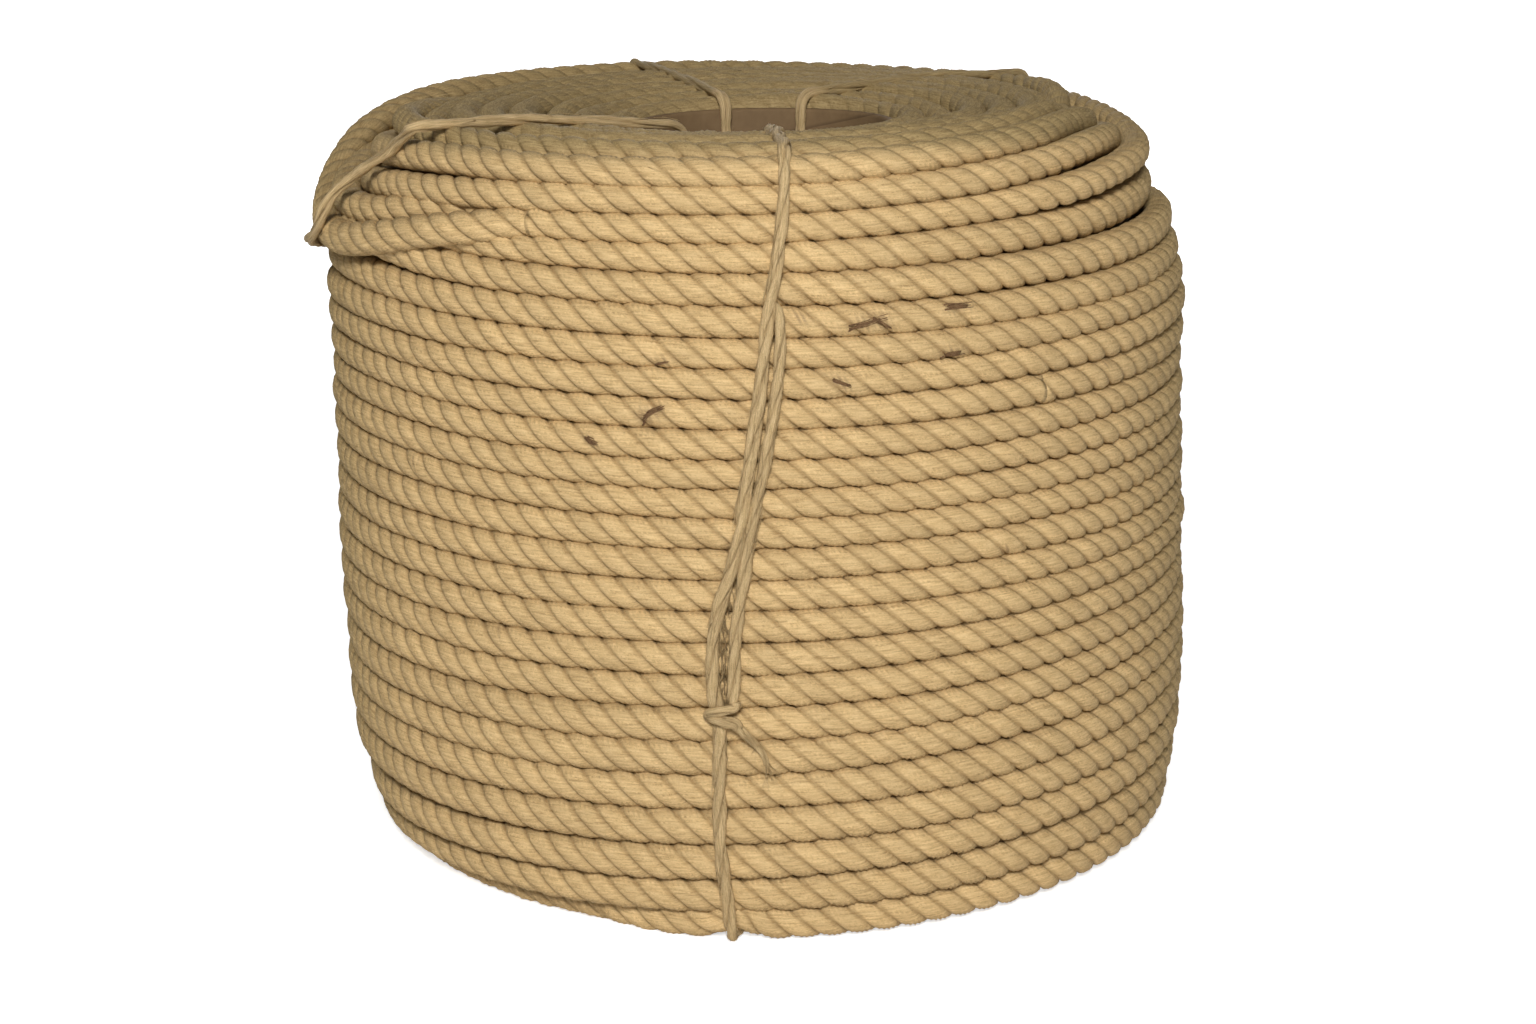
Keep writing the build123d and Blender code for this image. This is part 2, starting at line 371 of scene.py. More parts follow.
def fibre_material(name, light, mid, dark, seam_shade, bump, fibre=1.0, weathered_and_shaded=False):
    """Laid natural fibre: long fibres along the rope, tone by strand, painted shade in the lay
    lines between strands.
    """
    sh = Shader(name)
    rc = sh.attribute("rc", "Vector")
    # fibres lie along the rope: the coordinate along it is shrunk
    fine = sh.noise(sh.scaled(rc, (0.10 * fibre, 1.0, 1.0)), scale=1.6, detail=6.0,
                    roughness=0.66)
    coarse = sh.noise(sh.scaled(rc, (0.02 * fibre, 0.35, 0.35)), scale=2.2, detail=3.0,
                      roughness=0.5)
    hair = sh.noise(sh.scaled(rc, (0.13 * fibre, 1.5, 1.5)), scale=1.9, detail=3.0,
                    roughness=0.6)
    colour = sh.ramp(fine, (0.30, dark), (0.47, mid), (0.66, light))
    light_hairs = sh.math("MULTIPLY", sh.ramp(hair, (0.50, 0.0), (0.72, 1.0)), 0.30)
    colour = sh.mix(light_hairs, colour, light)
    dark_hairs = sh.math("MULTIPLY", sh.ramp(hair, (0.24, 1.0), (0.40, 0.0)), 0.30)
    colour = sh.mix(dark_hairs, colour, dark)
    # brightness by strand and by longer stretches: factor, then base
    strand_value = sh.math("MULTIPLY_ADD", sh.attribute("tone"), 0.09, 1.0)
    patch_value = sh.math("MULTIPLY_ADD", coarse, 0.26, 0.87)
    hsv = sh.add("HueSaturation")
    sh.link(sh.math("MULTIPLY", strand_value, patch_value), hsv.inputs["Value"])
    sh.link(colour, hsv.inputs["Color"])
    # painted shade in the grooves between strands, in the seam_shade colour
    colour = sh.mix(sh.math("MULTIPLY", sh.attribute("gr"), 0.50), hsv.outputs[0], seam_shade)
    if weathered_and_shaded:
        # painted shade on the flanks where rows meet, stains broken up by the hairs, then dust and
        # painted shade
        colour = sh.mix(sh.math("MULTIPLY", sh.attribute("edge"), 0.55), colour, seam_shade)
        stain = sh.math("MULTIPLY", sh.attribute("stain"),
                        sh.ramp(hair, (0.36, 0.25), (0.50, 1.0)))
        colour = sh.mix(sh.math("MULTIPLY", stain, 0.9, clamp=True), colour, STAIN_COLOUR)
        # dust, and painted shade on the top, the sides and the back
        dust_and_shade = sh.attribute("dust_and_shade")
        dust_and_shade_colour = sh.ramp(fine, *DUST_AND_SHADE_STOPS)
        colour = sh.mix(sh.math("MULTIPLY", dust_and_shade, 0.78), colour, dust_and_shade_colour)
    sh.link(colour, sh.bsdf.inputs["Base Color"])
    sh.link(sh.math("MULTIPLY_ADD", fine, -0.22, 0.80), sh.bsdf.inputs["Roughness"])
    sh.bsdf.inputs["Specular IOR Level"].default_value = 0.32
    sh.bsdf.inputs["Sheen Weight"].default_value = 0.03
    sh.bsdf.inputs["Sheen Roughness"].default_value = 0.5
    sh.bsdf.inputs["Sheen Tint"].default_value = (0.95, 0.85, 0.62, 1.0)
    height = sh.math("ADD", sh.math("MULTIPLY", fine, 0.7), sh.math("MULTIPLY", hair, 0.5))
    sh.bump(height, strength=bump, distance=0.0011)
    return sh.material


def board_material():
    """Brown board with a dark spiral line where the plies lap."""
    lap_pitch = 0.075         # metres up the tube in one turn of the lap
    sh = Shader("kraft_board")
    coords = sh.object_coords()
    grain = sh.noise(sh.scaled(coords, (1, 1, 0.8)), scale=160.0, detail=6.0, roughness=0.6)
    cloud = sh.noise(sh.scaled(coords, (1, 1, 1)), scale=24.0, detail=3.0, roughness=0.5)
    colour = sh.ramp(grain, (0.25, (0.190, 0.118, 0.054)), (0.55, (0.230, 0.145, 0.068)),
                     (0.80, (0.262, 0.170, 0.084)))
    colour = sh.mix(sh.math("MULTIPLY", cloud, 0.35), colour, (0.10, 0.060, 0.030))
    xyz = sh.add("SeparateXYZ")
    sh.link(coords, xyz.inputs[0])
    around = sh.math("ARCTAN2", xyz.outputs[1], xyz.outputs[0])
    around = sh.math("MULTIPLY", around, 1 / (2 * math.pi))
    run = sh.math("ADD", sh.math("MULTIPLY", xyz.outputs[2], 1 / lap_pitch), around)
    lap = sh.ramp(sh.math("FRACT", run), (0.0, 1.0), (0.02, 0.0), (0.98, 0.0))
    colour = sh.mix(sh.math("MULTIPLY", lap, 0.5), colour, (0.05, 0.028, 0.013))
    sh.link(colour, sh.bsdf.inputs["Base Color"])
    sh.bsdf.inputs["Roughness"].default_value = 0.82
    sh.bump(sh.math("ADD", grain, sh.math("MULTIPLY", lap, -1.0)), strength=0.3,
            distance=0.0006)
    return sh.material


# seam_shade is the painted shade colour in the grooves and on the rope's flanks
ROPE_FIBRE = fibre_material(
    "dock_line_fibre", light=(0.800, 0.585, 0.300), mid=(0.640, 0.445, 0.210),
    dark=(0.400, 0.255, 0.105), seam_shade=(0.185, 0.108, 0.040), bump=0.5, weathered_and_shaded=True)
TWINE_FIBRE = fibre_material(
    "lashing_twine", light=(0.800, 0.610, 0.345), mid=(0.590, 0.420, 0.205),
    dark=(0.270, 0.170, 0.072), seam_shade=(0.230, 0.140, 0.058), bump=0.7, fibre=0.8, weathered_and_shaded=True)
THREAD_FIBRE = fibre_material(
    "whipping_thread", light=(0.780, 0.690, 0.520), mid=(0.680, 0.580, 0.410),
    dark=(0.500, 0.400, 0.260), seam_shade=(0.230, 0.170, 0.100), bump=0.3, fibre=2.0)
BOARD = board_material()

# ------------------------------------------------------------------ core tube
# (radius, z) round the tube's wall: up the bore, over the rim, down the outside
TUBE_PROFILE = [
    (53.5, 14.0), (53.5, 60.0), (53.5, 120.0), (53.5, 180.0), (53.5, 240.0), (53.5, 293.0),
    (53.9, 294.4), (55.6, 294.6), (56.4, 293.4), (56.5, 240.0), (56.5, 120.0), (56.5, 14.0)]


def build_core_tube():
    points, quads = revolve(TUBE_PROFILE, step=2.5, ripple=0.25)
    tube = make_mesh("core_tube_board", points, quads, NO_TRIS, {}, BOARD)
    register(tube, "coil", "board", "core_tube")


# ------------------------------------------------------------------ coil form
# Boundaries between the rows of the outer layer, from the top of row 3 down to the ground:
# height at the front, climb a turn, and bow (rise towards the sides).
FIRST_ROW, LAST_ROW = 3, 26
EDGE_Z = np.array([
    292.6, 282.4, 272.4, 260.9, 249.3, 237.7, 226.7, 215.5, 204.0, 192.8, 181.9, 170.8, 159.3,
    147.4, 135.5, 123.1, 110.9, 98.2, 85.2, 71.9, 57.2, 43.0, 28.2, 13.2, 0.0])
EDGE_CLIMB = np.array([
    18.9, 20.5, 6.0, -5.4, -17.0, -9.7, -6.6, -7.0, -8.2, -10.1, -5.0, -4.6, 0.2, 5.1, 7.5,
    13.3, 17.7, 22.0, 27.3, 32.9, 33.4, 43.0, 48.0, 34.0, 8.0])
EDGE_BOW = np.array([
    5.7, 4.5, 4.6, 5.6, 5.9, 4.5, 6.0, 3.5, 4.0, 3.0, 2.0, 1.0, -0.5, -0.8, -0.8, 0.4, 0.1, 0.0,
    -0.8, -2.1, 0.7, -3.0, -7.0, -4.4, 0.0])
ROW_Z, ROW_CLIMB, ROW_BOW = ((edge[:-1] + edge[1:]) / 2 for edge in (EDGE_Z, EDGE_CLIMB, EDGE_BOW))
ROW_Z[-1] = 7.2               # the lowest row stands on the ground
BLEND_FROM = 60.0             # past this angle a row eases towards its neighbour


def row_height(row, angle):
    """Centre height of a row (numbered from the top) at angles -180..180."""
    i = row - FIRST_ROW
    z0, climb, bow = ROW_Z[i], ROW_CLIMB[i], ROW_BOW[i]
    above = ROW_Z[i - 1]
    below = ROW_Z[i + 1] if row < LAST_ROW else z0 - 12.0
    span = 180 - BLEND_FROM
    back_slope = (above - below) / 720

    def height(x):
        return z0 + climb * x / 360 + bow * (1 - np.cos(np.radians(x)))

    def slope(x):
        return climb / 360 + bow * math.radians(1) * np.sin(np.radians(x))

    def hermite(t, p0, m0, p1, m1):
        return ((2 * t ** 3 - 3 * t ** 2 + 1) * p0 + (t ** 3 - 2 * t ** 2 + t) * m0 * span
                + (-2 * t ** 3 + 3 * t ** 2) * p1 + (t ** 3 - t ** 2) * m1 * span)

    z = height(angle)
    rising = hermite((angle - BLEND_FROM) / span, height(BLEND_FROM), slope(BLEND_FROM),
                     (z0 + above) / 2, back_slope)
    z = np.where(angle > BLEND_FROM, rising, z)
    arriving = hermite((angle + 180) / span, (z0 + below) / 2, back_slope,
                       height(-BLEND_FROM), slope(-BLEND_FROM))
    z = np.where(angle < -BLEND_FROM, arriving, z)
    # the upper part of the coil falls away towards the back
    back = np.where(angle > 0, ease((angle - 78) / 80), ease((-angle - 55) / 80))
    z = z - 15.5 * back * np.clip((z - 150) / 158, 0, 1.05)
    return np.maximum(z, 6.3)


# outside radius of the coil by height, at its left, right and front
FORM_Z = np.array([0, 17, 31, 45, 60, 88, 130, 200, 228, 243, 257, 270, 285, 299, 312.0])
LEFT_R = np.array([173.0, 177.5, 181.5, 184.0, 185.0, 185.8, 186.0, 185.0, 185.0, 184.5, 182.5,
                   178.0, 173.5, 171.0, 169.0])
RIGHT_R = np.array([175.5, 178.6, 180.0, 181.8, 181.8, 181.5, 180.2, 177.3, 178.2, 175.4, 171.4,
                    162.4, 159.0, 152.0, 145.0])
FRONT_R = np.array([174.0, 178.5, 181.0, 183.0, 183.5, 183.6, 183.0, 181.5, 181.5, 181.0, 180.2,
                    179.6, 178.8, 178.0, 176.5])


def form_radius(angle, z):
    """Outside radius of the coil at a turn angle and height."""
    side = np.sin(np.radians(angle))
    r = np.interp(z, FORM_Z, FRONT_R)
    left = np.clip(-side, 0, 1) ** 1.6
    right = np.clip(side, 0, 1) ** np.where(np.abs(angle) > 90, 3.0, 1.15)
    return (r + left * (np.interp(z, FORM_Z, LEFT_R) - r)
            + right * (np.interp(z, FORM_Z, RIGHT_R) - r))


# The four lashings. bore, rim and foot are azimuths in the bore, at the outer rim and at the
# foot; blur is how often the run over the top is smoothed, press how far it sinks there;
# radius, lay and hairs (per 10 mm) belong to the twine; face is (z, azimuth) down the outside.
LASHINGS = {
    "front": dict(
        bore=273.0, rim=272.6, foot=264.8, body="front_lashing", knot_z=97.0, blur=4, press=2.0,
        radius=2.5, lay=42.0, hairs=3.0,
        face=[(300, 272.5), (285, 272.2), (271, 271.7), (246, 270.3), (215, 269.1),
              (178, 267.3), (163, 266.6), (150, 265.4), (131, 263.5), (103, 263.2),
              (97, 264.2), (86, 264.0), (48, 263.7), (20, 264.4), (0, 264.8)]),
    "left": dict(
        bore=232.0, rim=220.0, foot=176.0, body="coil", knot_z=150.0, blur=12, press=0.4,
        radius=2.3, lay=105.0, hairs=1.2,
        face=[(303, 218), (296, 212.5), (288, 207), (280, 204.5), (268, 203.5), (260, 201.5),
              (255, 195), (249, 182), (240, 174), (225, 170), (180, 168), (60, 168), (20, 173),
              (0, 176)]),
    "back": dict(
        bore=108.0, rim=111.0, foot=111.0, body="back_lashing", knot_z=196.0, blur=12,
        press=2.2, radius=2.3, lay=105.0, hairs=1.2,
        face=[(300, 111), (200, 110.2), (100, 111.6), (0, 111)]),
    "right": dict(
        bore=71.0, rim=45.0, foot=45.0, body="right_lashing", knot_z=174.0, blur=12, press=2.2,
        radius=2.3, lay=105.0, hairs=1.2,
        face=[(300, 45), (220, 45.8), (110, 44.4), (0, 45)]),
}


def foot_lift(path):
    """Heights of a path with its low turns raised over the twine that passes under the coil."""
    z = path[:, 2].copy()
    for lashing in LASHINGS.values():
        inner = polar(50.0, lashing["bore"], 0.0)[:2]
        along = unit(polar(186.0, lashing["foot"], 0.0)[:2] - inner)
        x, y = (path[:, :2] - inner).T
        distance = np.abs(x * along[1] - y * along[0])
        ahead = x * along[0] + y * along[1] > -6
        lift = 4.0 * np.exp(-(distance / 8.5) ** 2) * np.clip((16 - path[:, 2]) / 9, 0, 1)
        z += np.where(ahead & (path[:, 2] < 16), lift, 0)
    return z


# ------------------------------------------------------------------ rope pieces
# stained spots: turn angle, height, half length, half width, slope
STAINS = [
    (11.9, 243.2, 8.5, 1.5, 0.25), (13.6, 242.6, 4.5, 1.3, -0.6), (23.3, 246.0, 6.5, 1.3, 0.0),
    (22.5, 229.0, 6.0, 1.2, 0.1), (8.7, 221.5, 4.0, 1.1, -0.4), (-14.1, 209.0, 3.5, 2.4, 1.6),
    (-13.0, 211.5, 4.6, 1.1, 0.5), (-20.7, 199.0, 3.2, 1.1, -0.3), (-12.0, 229.5, 3.5, 1.0, 0.3),
    (4.0, 246.0, 3.0, 1.0, 0.0), (30.0, 150.0, 2.6, 0.8, 0.2), (-35.0, 120.0, 2.6, 0.8, 0.1),
    (48.0, 215.0, 3.0, 0.9, 0.3), (-48.0, 180.0, 2.4, 0.8, 0.4), (120.0, 170.0, 5.0, 1.2, 0.2),
    (170.0, 90.0, 4.0, 1.2, -0.2)]


def stain_dust_and_shade(points):
    """Amount of stain, and of dust with painted shade, at each point."""
    x, y, z = points.T
    angle = (np.degrees(np.arctan2(y, x)) - 270 + 180) % 360 - 180
    radius = np.hypot(x, y)
    stain = np.zeros(len(points))
    for spot_angle, spot_z, length, width, slope in STAINS:
        across = ((angle - spot_angle + 180) % 360 - 180) * math.pi / 180 * radius
        up = z - spot_z
        c, s = math.cos(math.atan(slope)), math.sin(math.atan(slope))
        u, v = across * c + up * s, -across * s + up * c
        spot = np.exp(-(u / length) ** 2 - (v / width) ** 2) * (radius > 150)
        stain = np.maximum(stain, spot)
    # painted shade on the top, inside the rim, at both sides and round the back, where the light
    # from the front falls off; on the top it is dust as well
    limit = 296.0 + 6.5 * near(angle, 0, 80)
    sides = np.maximum(near(angle, 100, 34), near(angle, -96, 34))
    dust_and_shade = np.maximum.reduce([
        ease((z - limit + 3) / 7) * (0.45 + 0.55 * ease((176 - radius) / 14)),
        0.9 * ease((154 - radius) / 8) * ease((z - 262) / 10),
        0.6 * sides * ease((z - 262) / 16),
        0.66 * ease((np.abs(angle) - 46) / 34)])
    return stain, dust_and_shade


def rope_piece(name, nodes, path, a, b, seed, normals=None, shift=0.0, body="coil", start=0.0,
               worn=False):
    """A stretch of rope; worn rope has shallow, uneven strands."""
    if normals is None:
        normals = outward(path)
    relief = dict(groove=0.3, belly=0.35, wobble=0.5) if worn else {}
    points, quads, tris, attrs = laid_tube(path, normals, a, b, shift=shift, seed=seed,
                                           start=start, **relief)
    if worn:
        # less painted groove shade on the shallow strands
        attrs["gr"] = attrs["gr"] * 0.4
    # real stains, and dust with painted shade
    attrs["stain"], attrs["dust_and_shade"] = stain_dust_and_shade(points)
    ob = make_mesh(name, points, quads, tris, attrs, ROPE_FIBRE)
    register(ob, body, "rope", *nodes)
    return ob


def keyed(keys, angle):
    """Radius and height along a turn from (angle, radius, height) keys."""
    curve = spline(keys, 1.5)
    return [np.interp(angle, curve[:, 0], curve[:, i]) for i in (1, 2)]


def settled_turn(keys, angle, seed):
    """Path of a keyed turn with slight unevenness."""
    r, z = keyed(keys, angle)
    return polar(r + 0.4 * noise(angle / 26.0, seed), FRONT + angle,
                 z + 0.3 * noise(angle / 19.0, seed + 1))


# ------------------------------------------------------------------ outer layer
# Rows 3, 2 and 1, as (angle, radius, z) keys: they run inside the loose turn at the left
# and inside the rising turn at the right. The start of row 3 comes from row 5's end.
ROW_3_KEYS = [
    (-120, 166, 264.5), (-100, 163, 268.5), (-80, 162.5, 276.0), (-62, 166.5, 281.4),
    (-46, 170.0, 284.6), (-34, 171.6, 286.2), (-20, 172.2, 287.3), (0, 172.4, 287.6),
    (16, 168.5, 288.6), (30, 163.5, 290.2), (42, 158, 292.0), (55, 151.5, 293.4),
    (68, 147, 292.2), (80, 144.4, 289.0), (95, 145.0, 285.0), (110, 147.6, 281.4),
    (130, 154.6, 278.6), (150, 161.5, 278.6), (180, 168, 275.8)]
ROW_2_KEYS = [
    (-180, 168, 275.8), (-150, 166, 277.0), (-120, 160, 280.0), (-100, 157, 284.5),
    (-80, 157.5, 289.6), (-62, 161.5, 293.6), (-46, 166, 296.2), (-30, 170, 296.6),
    (0, 171.8, 296.7), (16, 166.5, 298.2), (30, 158.5, 299.8), (43, 150.5, 301.0),
    (55, 141, 300.8), (66, 135.5, 299.0), (78, 133.8, 296.0), (95, 135, 291.6),
    (110, 138.8, 288.6), (130, 146.2, 286.8), (150, 156.5, 287.0), (180, 164, 287.3)]
ROW_1_KEYS = [
    (-180, 164, 287.3), (-150, 160, 290.0), (-120, 152, 294.0), (-100, 148, 297.0),
    (-80, 148, 299.6), (-60, 151.5, 301.0), (-40, 156.5, 300.6), (-15, 159.4, 300.0),
    (0, 159.3, 300.2), (16, 154.5, 301.2), (30, 147, 302.4), (43, 138.5, 302.6),
    (55, 129.5, 302.6), (68, 124, 300.8), (84, 122, 294.5), (98, 121, 287.0)]


def outer_row(row, angle):
    """Path of one outer row and half its height."""
    z = row_height(row, angle)
    above = row_height(row - 1, angle)
    below = row_height(row + 1, angle) if row < LAST_ROW else z - 12.2
    half_height = np.clip((above - below) / 4, 5.0, 7.2)
    r = form_radius(angle, z) + 0.55 * noise(angle / 28.0 + 40 * row, 500 + row)
    z = z + 0.30 * noise(angle / 17.0 + 40 * row, 700 + row)
    path = polar(r - HALF_ROPE, FRONT + angle, z)
    path[:, 2] = foot_lift(path)
    return path, half_height * 1.03


def lower_turns():
    """Rows 26 to 5 as one path, and half the rope's height along it."""
    paths, halves, rows, angles = [], [], [], []
    for row in range(LAST_ROW, 4, -1):
        turn = np.arange(-34.0 if row == LAST_ROW else -180.0, 180.0 - 1e-6, STEP)
        path, half = outer_row(row, turn)
        paths.append(path)
        halves.append(half)
        rows.append(np.full(len(turn), row))
        angles.append(turn)
    path, half, row, angle = map(np.concatenate, (paths, halves, rows, angles))
    # row 5 tucks in under the loose turn at the left, and row 6 swells towards it
    tuck = (row == 5) * near(angle, -78, 44) ** 0.8
    swell = (row == 6) * near(angle, -74, 42)
    path = path - outward(path) * (10.0 * tuck)[:, None]
    path[:, 2] += 3.6 * swell - 1.0 * tuck
    half = half + 1.6 * swell
    # the first turn starts from under row 25
    inset = 9.0 * (1 - ease(arc_length(path) / 90))
    return path - outward(path) * inset[:, None], half


def build_outer_layer():
    low, low_half = lower_turns()
    end_r, end_z = math.hypot(low[-1][0], low[-1][1]), low[-1][2]
    row_3 = [(-180, end_r, end_z), (-150, 169, end_z + 1.5)] + ROW_3_KEYS
    full_turn = np.arange(-180.0, 180.0 - 1e-6, STEP)
    last_turn = np.arange(-180.0, 98.0 - 1e-6, STEP)
    r, z = keyed(ROW_1_KEYS, last_turn)
    row_1 = polar(r + 0.9 * noise(last_turn / 17.0, 5), FRONT + last_turn,
                  z + 0.7 * noise(last_turn / 13.0, 6))
    path = np.concatenate([low, settled_turn(row_3, full_turn, 21),
                           settled_turn(ROW_2_KEYS, full_turn, 22), row_1])
    n_low, n_high = len(low), len(path) - len(low)
    a = np.concatenate([np.full(n_low, 6.25), np.full(n_high, 6.1)])
    b = np.concatenate([low_half, np.full(n_high, 5.6)]) * 1.09
    lean = np.zeros(len(path))
    lean[n_low:] = 0.15 + 0.5 * np.clip((path[n_low:, 2] - 286) / 16, 0, 1)
    normals = outward(path, lean)
    length = arc_length(path)
    cuts = list(np.linspace(0, n_low, 5).astype(int)) + [len(path) - 1]
    pieces = []
    for letter, first, last in zip("abcde", cuts, cuts[1:]):
        part = slice(first, last + 1)
        pieces.append(rope_piece("rope_layer_10_turns_" + letter, ["rope_layer_10"], path[part],
                                 a[part], b[part], seed=40, normals=normals[part],
                                 start=length[first]))
    return pieces


# The last turn, (angle, radius, z) keys: out of the top, over the rim and down at the left,
# along the front as row 4, and up again at the right to the rope's outer end
LOOSE_LEFT_KEYS = [
    (-275, 124, 286.0), (-260, 129, 295.0), (-245, 141, 298.8), (-230, 153, 297.2),
    (-212, 161.8, 296.8), (-190, 164.4, 298.4), (-165, 165.6, 300.0), (-146, 167.6, 300.2),
    (-130, 170.4, 299.6), (-116, 174.0, 296.4), (-104, 177.4, 289.6), (-93, 180.2, 279.0),
    (-83, 182.6, 268.8), (-74, 184.2, 262.4), (-64, 184.0, 261.2), (-55, 181.8, 265.0),
    (-46, 179.2, 270.0), (-38, 177.2, 273.4)]
LOOSE_RIGHT_KEYS = [
    (45, 164.0, 282.0), (58, 160.4, 284.2), (70, 158.2, 286.0), (80, 155.6, 286.0),
    (92, 154.6, 286.6), (104, 156.4, 288.0), (114, 160.2, 289.4), (124, 165.6, 290.8),
    (133, 171.0, 292.0), (140, 175.4, 292.4), (143.5, 177.0, 292.4)]


def build_last_turn():
    front = np.arange(-30.0, 31.0, 5.0)
    front_z = row_height(4, front)
    front_r = form_radius(front, front_z) - HALF_ROPE
    keys = LOOSE_LEFT_KEYS + list(zip(front, front_r, front_z)) + LOOSE_RIGHT_KEYS
    angle = np.arange(-275.0, 142.3, STEP)
    path = settled_turn(keys, angle, 31)
    half = 5.95 + 1.0 * near(angle, -60, 46)
    lean = 1.5 * (1 - ease((angle + 150) / 50)) + 0.5 * ease((angle - 95) / 40)
    normals = outward(path, lean)
    length = arc_length(path)
    leaves_top, joins_front = (int(np.searchsorted(angle, x)) for x in (-172, -30))
    pieces = []
    for name, node, part in (
            ("rope_layer_09_top", "rope_layer_09", slice(0, leaves_top + 1)),
            ("rope_loose_turn_laid", "rope_loose_turn", slice(leaves_top, joins_front + 1)),
            ("rope_layer_10_turns_g", "rope_layer_10", slice(joins_front, len(path)))):
        pieces.append(rope_piece(name, [node], path[part], 6.15, half[part], seed=80,
                                 normals=normals[part], shift=1.1, start=length[part.start]))
    return pieces


# Turns of the layer beneath: name, seed, first and last angle, (angle, radius, z) keys
FILLER_TURNS = [
    # in the gap behind the loose turn
    ("rope_layer_09_side", 91, -174.0, -32.0, [
        (-174, 162.6, 288.2), (-160, 165.4, 288.8), (-150, 167.4, 288.4), (-135, 169.8, 287.8),
        (-120, 171.6, 286.2), (-110, 173.0, 282.6), (-102, 173.2, 279.6), (-90, 172.2, 276.8),
        (-75, 175.4, 272.4), (-62, 174.4, 272.0), (-50, 170.4, 276.0), (-40, 167.4, 278.2),
        (-32, 160.0, 278.6)]),
    # in the hollow under the rising turn
    ("rope_layer_09_side_right", 92, 62.0, 168.0, [
        (62, 148, 272), (74, 151, 275.5), (88, 152.4, 275.6), (100, 155.4, 277.0),
        (112, 159.4, 278.6), (124, 164.0, 280.6), (136, 166.6, 282.6), (146, 167.0, 283.5),
        (156, 165.0, 283.5), (168, 156.0, 281.0)]),
    # round the back
    ("rope_layer_09_side_back", 93, 108.0, 270.0, [
        (108, 154, 266), (118, 159.6, 269), (128, 163.8, 271), (138, 166.4, 272),
        (150, 167.2, 272.4), (162, 165.6, 271.6), (174, 161, 270.6), (186, 157.4, 270.4),
        (205, 157, 270.6), (218, 158.4, 271.0), (230, 163.8, 272.4), (240, 168.6, 273.8),
        (250, 171.0, 273.2), (260, 171.5, 270.4), (270, 168, 266)]),
]


def build_filler_turns():
    pieces = []
    for name, seed, first, last, keys in FILLER_TURNS:
        angle = np.arange(first, last, STEP)
        r, z = keyed(keys, angle)
        path = polar(r, FRONT + angle, z)
        pieces.append(rope_piece(name, ["rope_layer_09"], path, 6.3, 6.3, seed))
    return pieces


# ------------------------------------------------------------------ inner layers
LAYER_WALL_R = 56.9           # where the innermost layer begins
LAYER_PITCH = 12.6
# centre height of each layer's top turn, layers 1 to 8
LAYER_TOP_Z = [291.6, 293.0, 295.2, 297.4, 298.6, 299.0, 299.0, 297.0]
# how far the top turn is moved at the right, left and front, layers 1 to 8
RIGHT_DZ = [0, 0, 0, 0, -1, -5, -13, -18]
LEFT_DZ = [0, 0, 0, 0, 0, -1, -4, -12]
FRONT_DZ = [0, 0, 0, 0, 0, 0, 0, -2.5]
FRONT_DR = FRONT_DZ
# angle at which a layer (the key) crosses over to the next one out
TOP_CROSSINGS = {1: 14.0, 3: -12.0, 5: 18.0, 7: -8.0}
BASE_CROSSINGS = {2: 20.0, 4: 170.0, 6: -60.0, 8: 100.0}


def layer_radius(layer):
    return LAYER_WALL_R + LAYER_PITCH * (layer - 1) + 6.1


def crossing_halves(inner, cross, turns, step_of):
    """The two halves of a rope that crosses over between neighbouring layers.

    The outer layer runs up to the crossing and the inner one on from it. Each half is
    (layer, angles, degrees from the crossing, radii).
    """
    halves = []
    for layer, other, sense in ((inner + 1, inner, -1), (inner, inner + 1, 1)):
        ends = sorted((cross, cross + sense * 360 * turns))
        angle = np.arange(*ends, step_of(layer))
        away = np.abs(angle - cross)
        own = layer_radius(layer)
        r = own + ease((26 - away) / 52) * (layer_radius(other) - own)
        halves.append((layer, angle, away, r))
    return halves


def top_pair(inner, cross):
    """Top turns of two layers, joined by a crossing."""
    paths = []
    for layer, angle, away, r in crossing_halves(
            inner, cross, 1.3, lambda layer: STEP * 220 / (layer_radius(layer) + 60)):
        i = layer - 1
        front = near(angle, 0, 75)
        r = r + FRONT_DR[i] * front + 1.0 * noise(angle / 33.0 + 13 * layer, 300 + layer)
        z = (LAYER_TOP_Z[i] - 13.0 * ease((away - 255) / 105)
             + RIGHT_DZ[i] * near(angle, 80, 74) + LEFT_DZ[i] * near(angle, -95, 60)
             + FRONT_DZ[i] * front + 1.1 * noise(angle / 41.0 + 7 * layer, 301 + layer))
        if layer < 4:
            z = z + 2.0 * ease((np.abs((angle + 180) % 360 - 180) - 60) / 90)
        paths.append((angle, away, r, z))
    # the two halves meet at the same height
    meet_ends = [z[np.argmin(away)] for _, away, _, z in paths]
    meet_z = 0.5 * sum(meet_ends)
    path = np.concatenate([
        polar(r, FRONT + angle, z + ease((20 - away) / 20) * (meet_z - end))
        for (angle, away, r, z), end in zip(paths, meet_ends)])
    path = resample(path, 2.7)
    return rope_piece("rope_layers_%02d_%02d_top" % (inner, inner + 1),
                      ["rope_layer_%02d" % inner, "rope_layer_%02d" % (inner + 1)], path,
                      6.3, 6.3, seed=120 + inner, normals=outward(path, 1.2), shift=inner,
                      worn=True)


